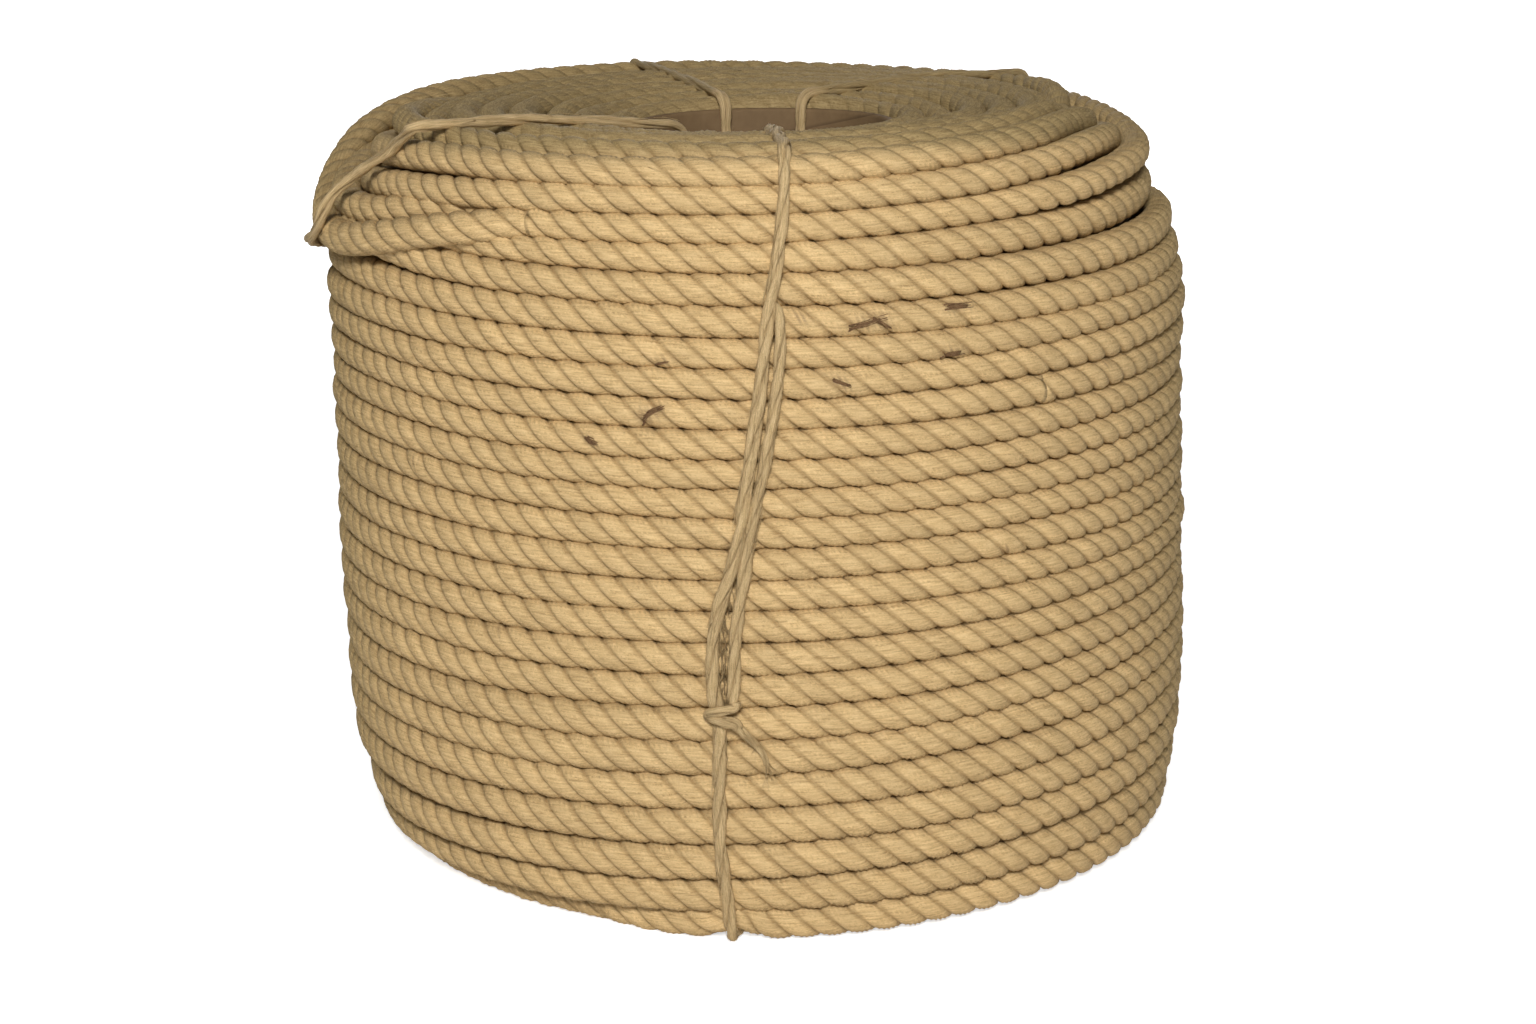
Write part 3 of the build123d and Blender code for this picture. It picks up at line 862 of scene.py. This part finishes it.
def base_pair(inner, cross):
    """Turns of two layers at the base, joined by a crossing."""
    path = np.concatenate([
        polar(r + 0.5 * noise(angle / 40, 61 + inner), FRONT + angle,
              GROUND_Z + 12.0 * ease((away - 300) / 90))
        for _, angle, away, r in crossing_halves(inner, cross, 1.12, lambda layer: STEP * 1.2)])
    path[:, 2] = foot_lift(path)
    path = resample(path, 3.2)
    return rope_piece("rope_layers_%02d_%02d_base" % (inner, inner + 1),
                      ["rope_layer_%02d" % inner, "rope_layer_%02d" % (inner + 1)], path,
                      6.1, 6.1, seed=160 + inner, normals=DOWN)


# (radius, angle, z) where layer 1 leaves the base and turns up into the bore
LEAD_KEYS = [(layer_radius(1), 14.0, 6.4), (60.5, 24.0, 6.4), (53.0, 29.0, 6.5),
             (47.0, 30.0, 9.5), (44.8, 30.0, 16.0)]


def build_inner_lead():
    """Layer 1 at the base, ending as the lead to the standing inner end."""
    angle = np.arange(-330.0, 30.0, STEP * 1.5)
    angle = angle[:np.searchsorted(angle, 13.0)]
    turn = polar(layer_radius(1), FRONT + angle, GROUND_Z + 12.0 * ease((-250 - angle) / 70))
    key_r, key_angle, key_z = np.array(LEAD_KEYS).T
    lead = spline(polar(key_r, FRONT + key_angle, key_z), 1.5)
    path = np.concatenate([turn, lead])
    low = path[:, 2] < 8
    path[low, 2] = foot_lift(path)[low]
    path = resample(path, 2.6)
    return rope_piece("rope_inner_lead_laid", ["rope_inner_lead", "rope_layer_01"], path,
                      5.9, 5.9, seed=190, normals=np.array([0.13, 0.2, -1.0]))


# (radius, z) round the former
FORMER_PROFILE = [
    (62.0, 20.0), (62.0, 279.0), (112.0, 283.0), (134.0, 272.0), (153.0, 256.0),
    (166.0, 234.0), (167.5, 200.0), (167.5, 34.0), (160.0, 20.0)]


def build_former():
    """A plain dark solid inside the turns that keeps light from passing between rows; its dark
    colour is painted shade for the shaded turns inside.
    """
    points, quads = revolve(FORMER_PROFILE, step=3.0)
    zero = np.zeros(len(points))
    # painted shade: the rope material's darkening attributes all set near their darkest
    attrs = {"rc": points, "gr": zero + 0.9, "tone": zero - 1, "strand": zero, "stain": zero,
             "dust_and_shade": zero + 1, "edge": zero + 1}
    former = make_mesh("rope_inner_turns", points, quads[:, ::-1], NO_TRIS, attrs, ROPE_FIBRE)
    register(former, "coil", "rope", "rope_layer_05")


# ------------------------------------------------------------------ rope ends
THREAD_R = 0.52
WHIPPING_TURNS = 13


def build_whipping(side, axis, normals, radius):
    """Close turns of thread round the rope."""
    t = np.linspace(0, 1, WHIPPING_TURNS * 26)
    length = arc_length(axis)
    core = np.stack([np.interp(t * length[-1], length, column) for column in axis.T], 1)
    if normals is None:
        normals = outward(core)
    normals, across = square_frame(normals, unit(np.gradient(core, axis=0)))
    theta = t * WHIPPING_TURNS * 2 * np.pi
    spokes = np.cos(theta)[:, None] * normals + np.sin(theta)[:, None] * across
    part = laid_tube(core + radius * spokes, spokes, THREAD_R, THREAD_R, lay=4.0, count=2,
                     groove=0.5, belly=0.3, power=2.0, wobble=0.05, seed=9)
    ob = make_mesh("whipping_%s_thread" % side, *part, THREAD_FIBRE)
    register(ob, "%s_end" % side, "whipping", "whipping_%s" % side)


def build_rope_end(side, path, a, whipping_radius, seed, shift=0.0, normals=None):
    """A free end, squeezed near the tip where the whipping holds it."""
    length = arc_length(path)
    squeeze = 1 - 0.10 * ease((length - (length[-1] - 24)) / 8)
    rope_piece("rope_end_%s_laid" % side, ["rope_end_%s" % side], path, a * squeeze,
               5.5 * squeeze, seed, normals=normals, shift=shift, body="%s_end" % side)
    whipped = (length > length[-1] - 17.5) & (length < length[-1] - 4.0)
    build_whipping(side, path[whipped], normals, whipping_radius)


def build_rope_ends():
    azimuth = np.arange(52.5, 97.0, 0.8)
    path = polar(177.2, azimuth, 292.4 + 6.0 * ease((azimuth - 52.5) / 44.0))
    build_rope_end("outer", path, a=5.7, whipping_radius=5.35, seed=210, shift=0.4)
    # the inner end stands upright in the bore
    z = np.arange(15.0, 96.1, 2.2)
    path = polar(44.5, 300.0, z)
    path[:, 0] += 0.9 * np.sin((z - 15) / 26.0)
    build_rope_end("inner", path, a=5.6, whipping_radius=5.25, seed=220,
                   normals=outward(path[:1])[0])


# ------------------------------------------------------------------ finding the rope's surface
def rope_tree(ropes):
    """Search tree over the quads of the rope pieces."""
    points, quads, offset = [], [], 0
    for ob in ropes:
        mesh = ob.data
        coords = np.empty(len(mesh.vertices) * 3, np.float32)
        mesh.vertices.foreach_get("co", coords)
        points.append(coords.reshape(-1, 3))
        corners = np.empty(len(mesh.loops), np.int32)
        mesh.loops.foreach_get("vertex_index", corners)
        starts = np.empty(len(mesh.polygons), np.int32)
        mesh.polygons.foreach_get("loop_start", starts)
        sizes = np.diff(np.append(starts, len(corners)))
        quad_starts = starts[sizes == 4]
        quads.append(corners[quad_starts[:, None] + np.arange(4)] + offset)
        offset += len(mesh.vertices)
    return BVHTree.FromPolygons([tuple(v) for v in np.concatenate(points).tolist()],
                                [tuple(q) for q in np.concatenate(quads).tolist()])


def side_radius(azimuth, z, default=176.0):
    """Radius of the rope's outer face."""
    t = math.radians(azimuth)
    origin = Vector((0.22 * math.cos(t), 0.22 * math.sin(t), z * MM))
    spot = ROPE_TREE.ray_cast(origin, Vector((-math.cos(t), -math.sin(t), 0)), 0.12)[0]
    return default if spot is None else math.hypot(spot.x, spot.y) * 1000


def top_height(x, y):
    """Height of the rope's top face."""
    spot = ROPE_TREE.ray_cast(Vector((x * MM, y * MM, 0.34)), Vector((0, 0, -1)), 0.09)[0]
    return 296.0 if spot is None else spot.z * 1000


def side_radii(azimuths, heights):
    return np.array([side_radius(a, z) for a, z in zip(azimuths, heights)])


def envelope(x, y, width):
    """Upper envelope of y over a window, smoothed: twine bridges small dips."""
    out = np.empty(len(y))
    for i in range(len(y)):
        gap = np.abs(x - x[i])
        out[i] = np.max(y - (gap / width) ** 2 * 2.2 - 1e9 * (gap > width * 2))
    kernel = np.array([1, 2, 3, 2, 1.0]) / 9
    return np.convolve(np.pad(out, 2, mode="edge"), kernel, "valid")


# ------------------------------------------------------------------ twine
TWINE_R = 2.1
TWINE_SINK = 0.35             # how far the twine is pressed into the rope on the face
BORE_R = 50.9                 # radius of the twine's run up the bore


def lashing_path(lashing):
    """One lashing's run: up the bore, over the end, down the face and under.

    Also gives the radii, heights and azimuths of its run down the face.
    """
    inner_az, foot_az = lashing["bore"], lashing["foot"]
    p = polar(BORE_R + 5.5, inner_az, 0.0)[:2]
    q = polar(172.0, lashing["rim"], 0.0)[:2]
    t = np.linspace(0, 1, 60)
    xy = p + (q - p) * t[:, None]
    top_z = np.array([top_height(x, y) for x, y in xy])
    top_z = envelope(t * np.linalg.norm(q - p), top_z, 15.0)
    for _ in range(lashing["blur"]):
        top_z = box_blur(top_z, 4)
    top_z = top_z + TWINE_R - lashing["press"]
    top = np.column_stack([xy, top_z])
    key_z, key_az = np.array(lashing["face"], float).T
    face_z = np.arange(min(top_z[-1] - 9.0, key_z[0]), 7.5, -1.6)
    face_az = box_blur(np.interp(-face_z, -key_z, key_az), 4)
    face_r = envelope(-face_z, side_radii(face_az, face_z), 9.0) + TWINE_R - TWINE_SINK
    foot = polar(np.array([face_r[-1] - 3.5, 150, 100, BORE_R + 6.0]),
                 foot_az + (inner_az - foot_az) * np.array([0, 0.22, 0.55, 1.0]),
                 np.array([TWINE_R + 0.1, TWINE_R, TWINE_R, TWINE_R]))
    bore = polar(BORE_R - 0.2, inner_az, np.arange(9.0, 284.0, 9.0))
    corner = polar(BORE_R + 1.0, inner_az, top_z[0] - 3.2)
    path = np.concatenate([bore, corner[None], top[1:], polar(face_r, face_az, face_z), foot,
                           bore[:1]])
    path = resample(path, 1.7)
    for _ in range(3):                       # soften the corners
        path[1:-1] = (path[:-2] + 2 * path[1:-1] + path[2:]) / 4
    return path, face_r, face_z, face_az


def away_from_coil(path):
    """Normals away from the middle of the coil's section."""
    middle = outward(path) * 116.0
    middle[:, 2] = 152.0
    return unit(path - middle)


def twine_part(part, seam_shade=1.0):
    """The part with its painted groove shade scaled, and with the twine's stain and its dust with
    painted shade.
    """
    points, quads, tris, attrs = part
    attrs["gr"] = attrs["gr"] * seam_shade
    attrs["stain"] = np.zeros(len(points))
    attrs["edge"] = np.zeros(len(points))
    # across the back of the top the twine gets the same painted shade and dust as the rope there
    radius = np.hypot(points[:, 0], points[:, 1])
    attrs["dust_and_shade"] = (0.85 * ease((points[:, 2] - 284) / 6) * ease((radius - 60) / 8)
                     * (points[:, 1] > 20))
    return points, quads, tris, attrs


def hair_part(path, radius, tone=0.0, seam_shade=0.0, stain=0.0):
    """One thin three-sided fibre, narrowing to its tip."""
    n = len(path)
    tangent = unit(np.gradient(path, axis=0))
    side = unit(np.cross(tangent, np.array([0.31, 0.17, 0.93])))
    across = np.cross(tangent, side)
    theta = np.arange(3) * 2 * np.pi / 3
    width = np.linspace(1, 0.35, n)[:, None, None]
    spokes = (np.cos(theta)[None, :, None] * side[:, None, :]
              + np.sin(theta)[None, :, None] * across[:, None, :])
    points = (path[:, None, :] + radius * width * spokes).reshape(-1, 3)
    index, quads = skin(n, 3)
    tris = np.array([index[0, ::-1], index[-1]])
    zero = np.zeros(len(points))
    rc = np.stack([np.repeat(arc_length(path), 3), np.tile(theta, n), zero], -1)
    return points, quads, tris, {"rc": rc, "gr": zero + seam_shade, "tone": zero + tone,
                                 "strand": zero, "stain": zero + stain, "dust_and_shade": zero,
                                 "edge": zero}


def add_twine(parts, path, radius, seed, lay=42.0, normals=None, tapers=(0.0, 0.0), wobble=0.45,
              hairs=0.0):
    """Two-strand twine along a path; hairs is the number of loose ones per 10 mm."""
    length = arc_length(path)
    swell = 1 + 0.10 * noise(length / 9.0, seed + 3) + 0.07 * noise(length / 3.1, seed + 4)
    thickness = radius * swell
    if normals is None:
        normals = away_from_coil(path)
    parts.append(twine_part(
        laid_tube(path, normals, thickness, thickness * 1.08, lay=lay, count=2, groove=1.6,
                  belly=1.9, power=2.0, seed=seed, wobble=wobble, tapers=tapers), seam_shade=0.8))
    rng = np.random.default_rng(seed + 900)
    normals, across = square_frame(normals, unit(np.gradient(path, axis=0)))
    for _ in range(int(hairs * length[-1] / 10.0)):
        first = rng.integers(2, max(3, len(path) - 10))
        count = int(rng.integers(5, 10))
        if first + count >= len(path):
            continue
        run = slice(first, first + count)
        theta = rng.uniform(-1.7, 1.7) + np.linspace(0, rng.uniform(-0.6, 0.6), count)
        reach = radius * (1.0 + rng.uniform(0.05, 0.5) * np.linspace(0, 1, count) ** 2)
        hair = path[run] + reach[:, None] * (np.cos(theta)[:, None] * normals[run]
                                             + np.sin(theta)[:, None] * across[run])
        parts.append(hair_part(hair, rng.uniform(0.12, 0.26), tone=rng.uniform(-1.0, 1.2)))


def add_tuft(parts, root, direction, spread, length, count, seed, floor_radius, radius=0.16):
    """A spray of fibres, kept outside the rope's surface (floor_radius)."""
    rng = np.random.default_rng(seed)
    direction = unit(np.array(direction, float))
    t = np.linspace(0, 1, 8)[:, None]
    for _ in range(count):
        heading = unit(direction + rng.normal(0, spread, 3))
        reach = length * rng.uniform(0.45, 1.1)
        bend = rng.normal(0, 0.28, 3)
        hair = (root + rng.normal(0, 0.5, 3) + heading * reach * t + bend * reach * t ** 2)
        r = np.hypot(hair[:, 0], hair[:, 1])
        hair[:, :2] *= (np.maximum(r, floor_radius) / r)[:, None]
        parts.append(hair_part(hair, radius * rng.uniform(0.7, 1.2)))


class FaceFrame:
    """A spot on the coil's face with axes round it (rightwards as seen), up and outward."""

    def __init__(self, azimuth, z, radius):
        t = math.radians(azimuth)
        self.along = np.array([-math.sin(t), math.cos(t), 0])
        self.out = np.array([math.cos(t), math.sin(t), 0])
        self.axes = np.array([self.along, [0, 0, 1.0], self.out])
        self.origin = self.out * radius + np.array([0, 0, z])

    def place(self, offsets):
        return self.origin + np.asarray(offsets, float) @ self.axes


# (along, up, out) offsets from the knot's place
WRAP_KEYS = [
    (5.2, 5.0, 1.2), (4.6, 2.8, 1.8), (2.0, 2.9, 4.0), (-2.2, 2.0, 4.2), (-5.0, 0.6, 2.2),
    (-4.6, -1.2, 0.6), (-2.2, -0.9, 3.6), (1.4, -1.6, 4.6), (4.6, -2.6, 3.0), (5.6, -4.6, 1.4)]
FRONT_TAIL_KEYS = [
    (5.4, -4.2, 1.4), (7.8, -7.0, 1.3), (11.5, -11.0, 0.9), (14.8, -15.5, 0.5),
    (16.6, -21.0, 0.6)]
KNOT_SIZE = 5.0
KNOT_TWINE_R = 1.95


def add_wrap_knot(parts, frame, seed):
    """The end taken twice round the standing part and drawn tight."""
    path = spline(frame.place(WRAP_KEYS), 0.9)
    add_twine(parts, path, 2.0, seed, normals=frame.out, hairs=4.0, wobble=0.3)


def add_overhand_knot(parts, frame, seed):
    """An overhand knot pulled up tight on the face."""
    t = np.linspace(0, 2 * np.pi, 90, endpoint=False)
    along = (np.sin(t) + 2 * np.sin(2 * t)) / 3 * KNOT_SIZE * 0.86
    up = (np.cos(t) - 2 * np.cos(2 * t)) / 3 * KNOT_SIZE * 1.12
    path = frame.place(np.stack([along, up, -np.sin(3 * t) * 1.9 + 1.3], -1))
    length = arc_length(np.concatenate([path, path[:1]]))[-1]
    lay = length / max(1, round(length / 17.0))       # whole twists round the loop
    parts.append(twine_part(
        laid_tube(path, frame.out, KNOT_TWINE_R, KNOT_TWINE_R, lay=lay, groove=2.4,
                  belly=1.4, power=2.0, seed=seed, wobble=0.25, closed=True)))


def add_knot_tails(parts, frame, number, floor_radius):
    """Two short tails below a knot, ending in tufts."""
    for side, drop in ((-1, 17.0), (1, 21.0)):
        path = spline(frame.place([(side * 1.5, -3, 0.8), (side * 4.5, -9, 0.4),
                                   (side * 6.5, 3 - drop, 0.2), (side * 9.5, -drop, 0.6)]), 1.2)
        add_twine(parts, path, 1.7, 380 + number + side, normals=frame.out, tapers=(0.0, 5.0))
        add_tuft(parts, path[-1], path[-1] - path[-4], spread=0.35, length=7.0, count=12,
                 seed=20 + number + side, floor_radius=floor_radius)


def finish_twine(parts, name, body, node):
    register(join_parts(parts, name, TWINE_FIBRE), body, "twine", node)


# (z, azimuth) of the front lashing's second part
RETURN_KEYS = np.array([
    (99, 265.4), (108, 265.8), (122, 265.9), (140, 266.6), (155, 267.3), (166, 267.9),
    (180, 268.9), (196, 269.9), (215, 271.0), (232, 271.6), (244, 271.9), (250, 271.2),
    (253, 270.8)])


def build_front_return(face_z, face_az):
    """Second part, from the knot back up beside the first."""
    z = np.arange(100.0, 253.0, 1.5)
    azimuth = box_blur(np.interp(z, *RETURN_KEYS.T), 5)
    radius = envelope(z, side_radii(azimuth, z), 9.0) + TWINE_R - TWINE_SINK
    radius[-6:] += np.linspace(0, 1.8, 6)
    parts = []
    add_twine(parts, resample(polar(radius, azimuth, z), 1.6), 2.2, 420, tapers=(3.0, 5.0),
              hairs=3.0)
    # frayed fibres between the two parts, darkened as painted shade of the narrow gap
    rng = np.random.default_rng(5)
    t = np.linspace(-1, 1, 6)
    for _ in range(60):
        mid_z = rng.uniform(104, 160)
        mid_az = (np.interp(mid_z, z, azimuth) + np.interp(-mid_z, -face_z, face_az)) / 2
        mid_r = side_radius(mid_az, mid_z) + rng.uniform(0.3, 1.6)
        hair = polar(mid_r, mid_az + rng.normal(0, 0.25) + t * rng.normal(0, 0.3),
                     mid_z + t * rng.uniform(2.0, 5.0))
        parts.append(hair_part(hair, rng.uniform(0.18, 0.32), tone=-1.5,
                               seam_shade=rng.uniform(0.6, 1.3)))
    finish_twine(parts, "lashing_front_return_twine", "front_lashing", "lashing_front_return")


def build_front_tail(frame, face_radius):
    """Frayed tail below the front knot."""
    parts = []
    path = spline(frame.place(FRONT_TAIL_KEYS), 1.1)
    middle = path[len(path) // 2]
    add_twine(parts, path, 1.6, 433, lay=24.0, normals=frame.out, tapers=(0.0, 9.0), hairs=6.0)
    add_tuft(parts, path[-5], path[-1] - path[-5], spread=0.20, length=9.0, count=26, seed=71,
             floor_radius=face_radius - 1.2, radius=0.17)
    add_tuft(parts, middle, (path[-1] - middle) * 0.6 - frame.along * 3, spread=0.4,
             length=6.0, count=8, seed=72, floor_radius=face_radius - 1.0, radius=0.12)
    finish_twine(parts, "lashing_front_tail_frayed", "front_tail", "lashing_front_tail")


def build_lashings():
    for number, (kind, lashing) in enumerate(LASHINGS.items()):
        path, face_r, face_z, face_az = lashing_path(lashing)
        parts = []
        add_twine(parts, path, lashing["radius"], 300 + 11 * number, lay=lashing["lay"],
                  hairs=lashing["hairs"])
        finish_twine(parts, "lashing_%s_twine" % kind, lashing["body"], "lashing_%s" % kind)
        knot_z = lashing["knot_z"]
        knot_az = float(np.interp(-knot_z, -face_z, face_az))
        knot_r = float(np.interp(-knot_z, -face_z, face_r))
        if kind == "front":
            knot_az += 0.55
        frame = FaceFrame(knot_az, knot_z, knot_r - 0.4)
        parts = []
        if kind == "front":
            add_wrap_knot(parts, frame, 350 + number)
            front_knot = frame, knot_r
        else:
            add_overhand_knot(parts, frame, 350 + number)
            add_knot_tails(parts, frame, number, knot_r - 1.0)
        finish_twine(parts, "lashing_%s_knot_tied" % kind, lashing["body"],
                     "lashing_%s_knot" % kind)
        if kind == "front":
            build_front_return(face_z, face_az)
    build_front_tail(*front_knot)


# ------------------------------------------------------------------ loose fibres
def build_loose_fibres():
    parts = []
    rng = np.random.default_rng(77)
    t = np.linspace(0, 1, 7)
    knots = (0, 0.33, 0.66, 1)
    for _ in range(520):
        azimuth = 270 + rng.uniform(-180, 180)
        z = rng.uniform(8, 300)
        r = side_radius(azimuth, z)
        if r < 150:
            continue
        length = rng.uniform(3.0, 9.5)
        turn = rng.choice([-1, 1]) * length / r * 57.3
        rise = rng.normal(0, 0.22) * length
        lift = (rng.uniform(0.15, 0.9)
                * np.sin(np.pi * np.clip(t * rng.uniform(0.6, 1.0), 0, 1)) + 0.05)
        radii = np.array([side_radius(azimuth + turn * k, z + rise * k, r) for k in knots])
        if radii.max() - radii.min() > 3:    # it would span a gap
            continue
        path = polar(np.interp(t, knots, radii) + lift, azimuth + turn * t,
                     z + rise * t + 0.6 * np.sin(3 * t) * rng.uniform(-1, 1))
        parts.append(hair_part(path, rng.uniform(0.07, 0.13), tone=rng.uniform(-0.5, 1.2)))
    # dark torn fibres at the first nine stains
    for angle, z, length, width, slope in STAINS[:9]:
        tilt = math.atan(slope)
        for _ in range(7):
            t = np.linspace(-1, 1, 7) * length * rng.uniform(0.4, 0.95)
            shift = rng.normal(0, width * 0.45)
            azimuth = 270 + angle + t * math.cos(tilt) / 178 * 57.3
            heights = z + (t * math.sin(tilt) + shift)
            radii = side_radii(azimuth, heights)
            path = polar(radii + 0.05 + 0.15 * np.abs(np.sin(t)), azimuth, heights)
            parts.append(hair_part(path, rng.uniform(0.25, 0.45), stain=1.3))
    register(join_parts(parts, "rope_loose_fibres", ROPE_FIBRE), "coil", "rope")


# ------------------------------------------------------------------ set, in metres
def floor_material():
    """Near white; it glows a little, but only as the camera sees it."""
    colour = (0.93, 0.93, 0.93)
    sh = Shader("pale_floor")
    cloud = sh.noise(sh.object_coords(), scale=1.2, detail=2.0, roughness=0.5)
    darker = tuple(v * 0.985 for v in colour)
    sh.link(sh.mix(cloud, darker, colour), sh.bsdf.inputs["Base Color"])
    sh.bsdf.inputs["Roughness"].default_value = 0.9
    sh.bsdf.inputs["Specular IOR Level"].default_value = 0.1
    glow = sh.add("Emission")
    glow.inputs["Color"].default_value = (1.0, 1.0, 1.0, 1.0)
    glow.inputs["Strength"].default_value = 0.62
    rays = sh.add("LightPath")
    both = sh.add("AddShader")
    choose = sh.add("MixShader")
    sh.link(sh.bsdf.outputs[0], both.inputs[0])
    sh.link(glow.outputs[0], both.inputs[1])
    sh.link(rays.outputs["Is Camera Ray"], choose.inputs[0])
    sh.link(sh.bsdf.outputs[0], choose.inputs[1])
    sh.link(both.outputs[0], choose.inputs[2])
    sh.link(choose.outputs[0], sh.output.inputs[0])
    return sh.material


def build_floor():
    """Floor that sweeps up into a backdrop behind the coil."""
    flat_end, sweep_r, half_width, wall_top = 3.2, 1.2, 7.0, 6.0
    profile = [(y, 0.0) for y in np.linspace(-4, flat_end, 8)]
    for t in np.radians(np.linspace(0, 90, 13)[1:]):
        profile.append((flat_end + sweep_r * math.sin(t), sweep_r - sweep_r * math.cos(t)))
    profile.append((flat_end + sweep_r, wall_top))
    points = [(x, y, z) for y, z in profile for x in (-half_width, half_width)]
    faces = [(2 * i, 2 * i + 1, 2 * i + 3, 2 * i + 2) for i in range(len(profile) - 1)]
    mesh = bpy.data.meshes.new("floor_sweep")
    mesh.from_pydata(points, [], faces)
    mesh.polygons.foreach_set("use_smooth", np.ones(len(faces), bool))
    floor = bpy.data.objects.new("floor_sweep", mesh)
    bpy.context.scene.collection.objects.link(floor)
    mesh.materials.append(floor_material())


def area_light(name, location, target, size, power, colour=(1, 1, 1), size_y=None):
    light = bpy.data.lights.new(name, "AREA")
    light.energy = power
    light.size = size
    light.shape = "RECTANGLE" if size_y else "SQUARE"
    if size_y:
        light.size_y = size_y
    light.color = colour
    ob = bpy.data.objects.new(name, light)
    ob.location = location
    aim = Vector(target) - Vector(location)
    ob.rotation_euler = aim.to_track_quat("-Z", "Y").to_euler()
    bpy.context.scene.collection.objects.link(ob)


def build_lights():
    coil_middle = (0.0, 0.0, 0.15)
    warm = (1.0, 0.985, 0.955)
    area_light("key_front", (-0.04, -2.1, 1.45), coil_middle, size=0.5, power=43.5, colour=warm,
               size_y=0.45)
    area_light("fill_front", (0.05, -2.7, 0.45), coil_middle, size=0.9, power=7.0, colour=warm)
    area_light("back_wash", (0.0, 2.6, 2.4), (0.0, 4.2, 0.3), size=3.0, power=60.0)
    area_light("back_low", (0.0, 2.3, 0.75), coil_middle, size=0.9, power=8.0)


def build_world():
    """White to the camera, dim as a light."""
    world = bpy.data.worlds.new("studio")
    bpy.context.scene.world = world
    world.use_nodes = True
    tree = world.node_tree
    tree.nodes.clear()
    backgrounds = []
    for strength in (0.065, 1.0):            # as a light, as seen
        background = tree.nodes.new("ShaderNodeBackground")
        background.inputs["Color"].default_value = (1.0, 1.0, 1.0, 1.0)
        background.inputs["Strength"].default_value = strength
        backgrounds.append(background)
    rays = tree.nodes.new("ShaderNodeLightPath")
    choose = tree.nodes.new("ShaderNodeMixShader")
    output = tree.nodes.new("ShaderNodeOutputWorld")
    tree.links.new(rays.outputs["Is Camera Ray"], choose.inputs[0])
    tree.links.new(backgrounds[0].outputs[0], choose.inputs[1])
    tree.links.new(backgrounds[1].outputs[0], choose.inputs[2])
    tree.links.new(choose.outputs[0], output.inputs[0])


def build_camera():
    location = (0.0, -1.056, 0.417324)
    pitch_down = math.radians(15.53)
    roll = math.radians(0.82)
    camera = bpy.data.cameras.new("camera")
    camera.lens = 58.31484375
    camera.sensor_width = 36.0
    camera.clip_start = 0.01
    ob = bpy.data.objects.new("camera", camera)
    ob.matrix_world = (Matrix.Translation(location)
                       @ Matrix.Rotation(math.radians(90) - pitch_down, 4, "X")
                       @ Matrix.Rotation(-roll, 4, "Z"))
    bpy.context.scene.collection.objects.link(ob)
    bpy.context.scene.camera = ob


def set_view():
    view = bpy.context.scene.view_settings
    view.view_transform = "Standard"
    view.look = "None"
    view.exposure = 0.0
    view.gamma = 1.0


# ------------------------------------------------------------------ build
build_core_tube()
ropes = build_outer_layer() + build_last_turn() + build_filler_turns()
ropes += [top_pair(inner, cross) for inner, cross in TOP_CROSSINGS.items()]
ropes += [base_pair(inner, cross) for inner, cross in BASE_CROSSINGS.items()]
ropes.append(build_inner_lead())
build_former()
build_rope_ends()
ROPE_TREE = rope_tree(ropes)
build_lashings()
build_loose_fibres()
build_floor()
build_lights()
build_world()
build_camera()
set_view()
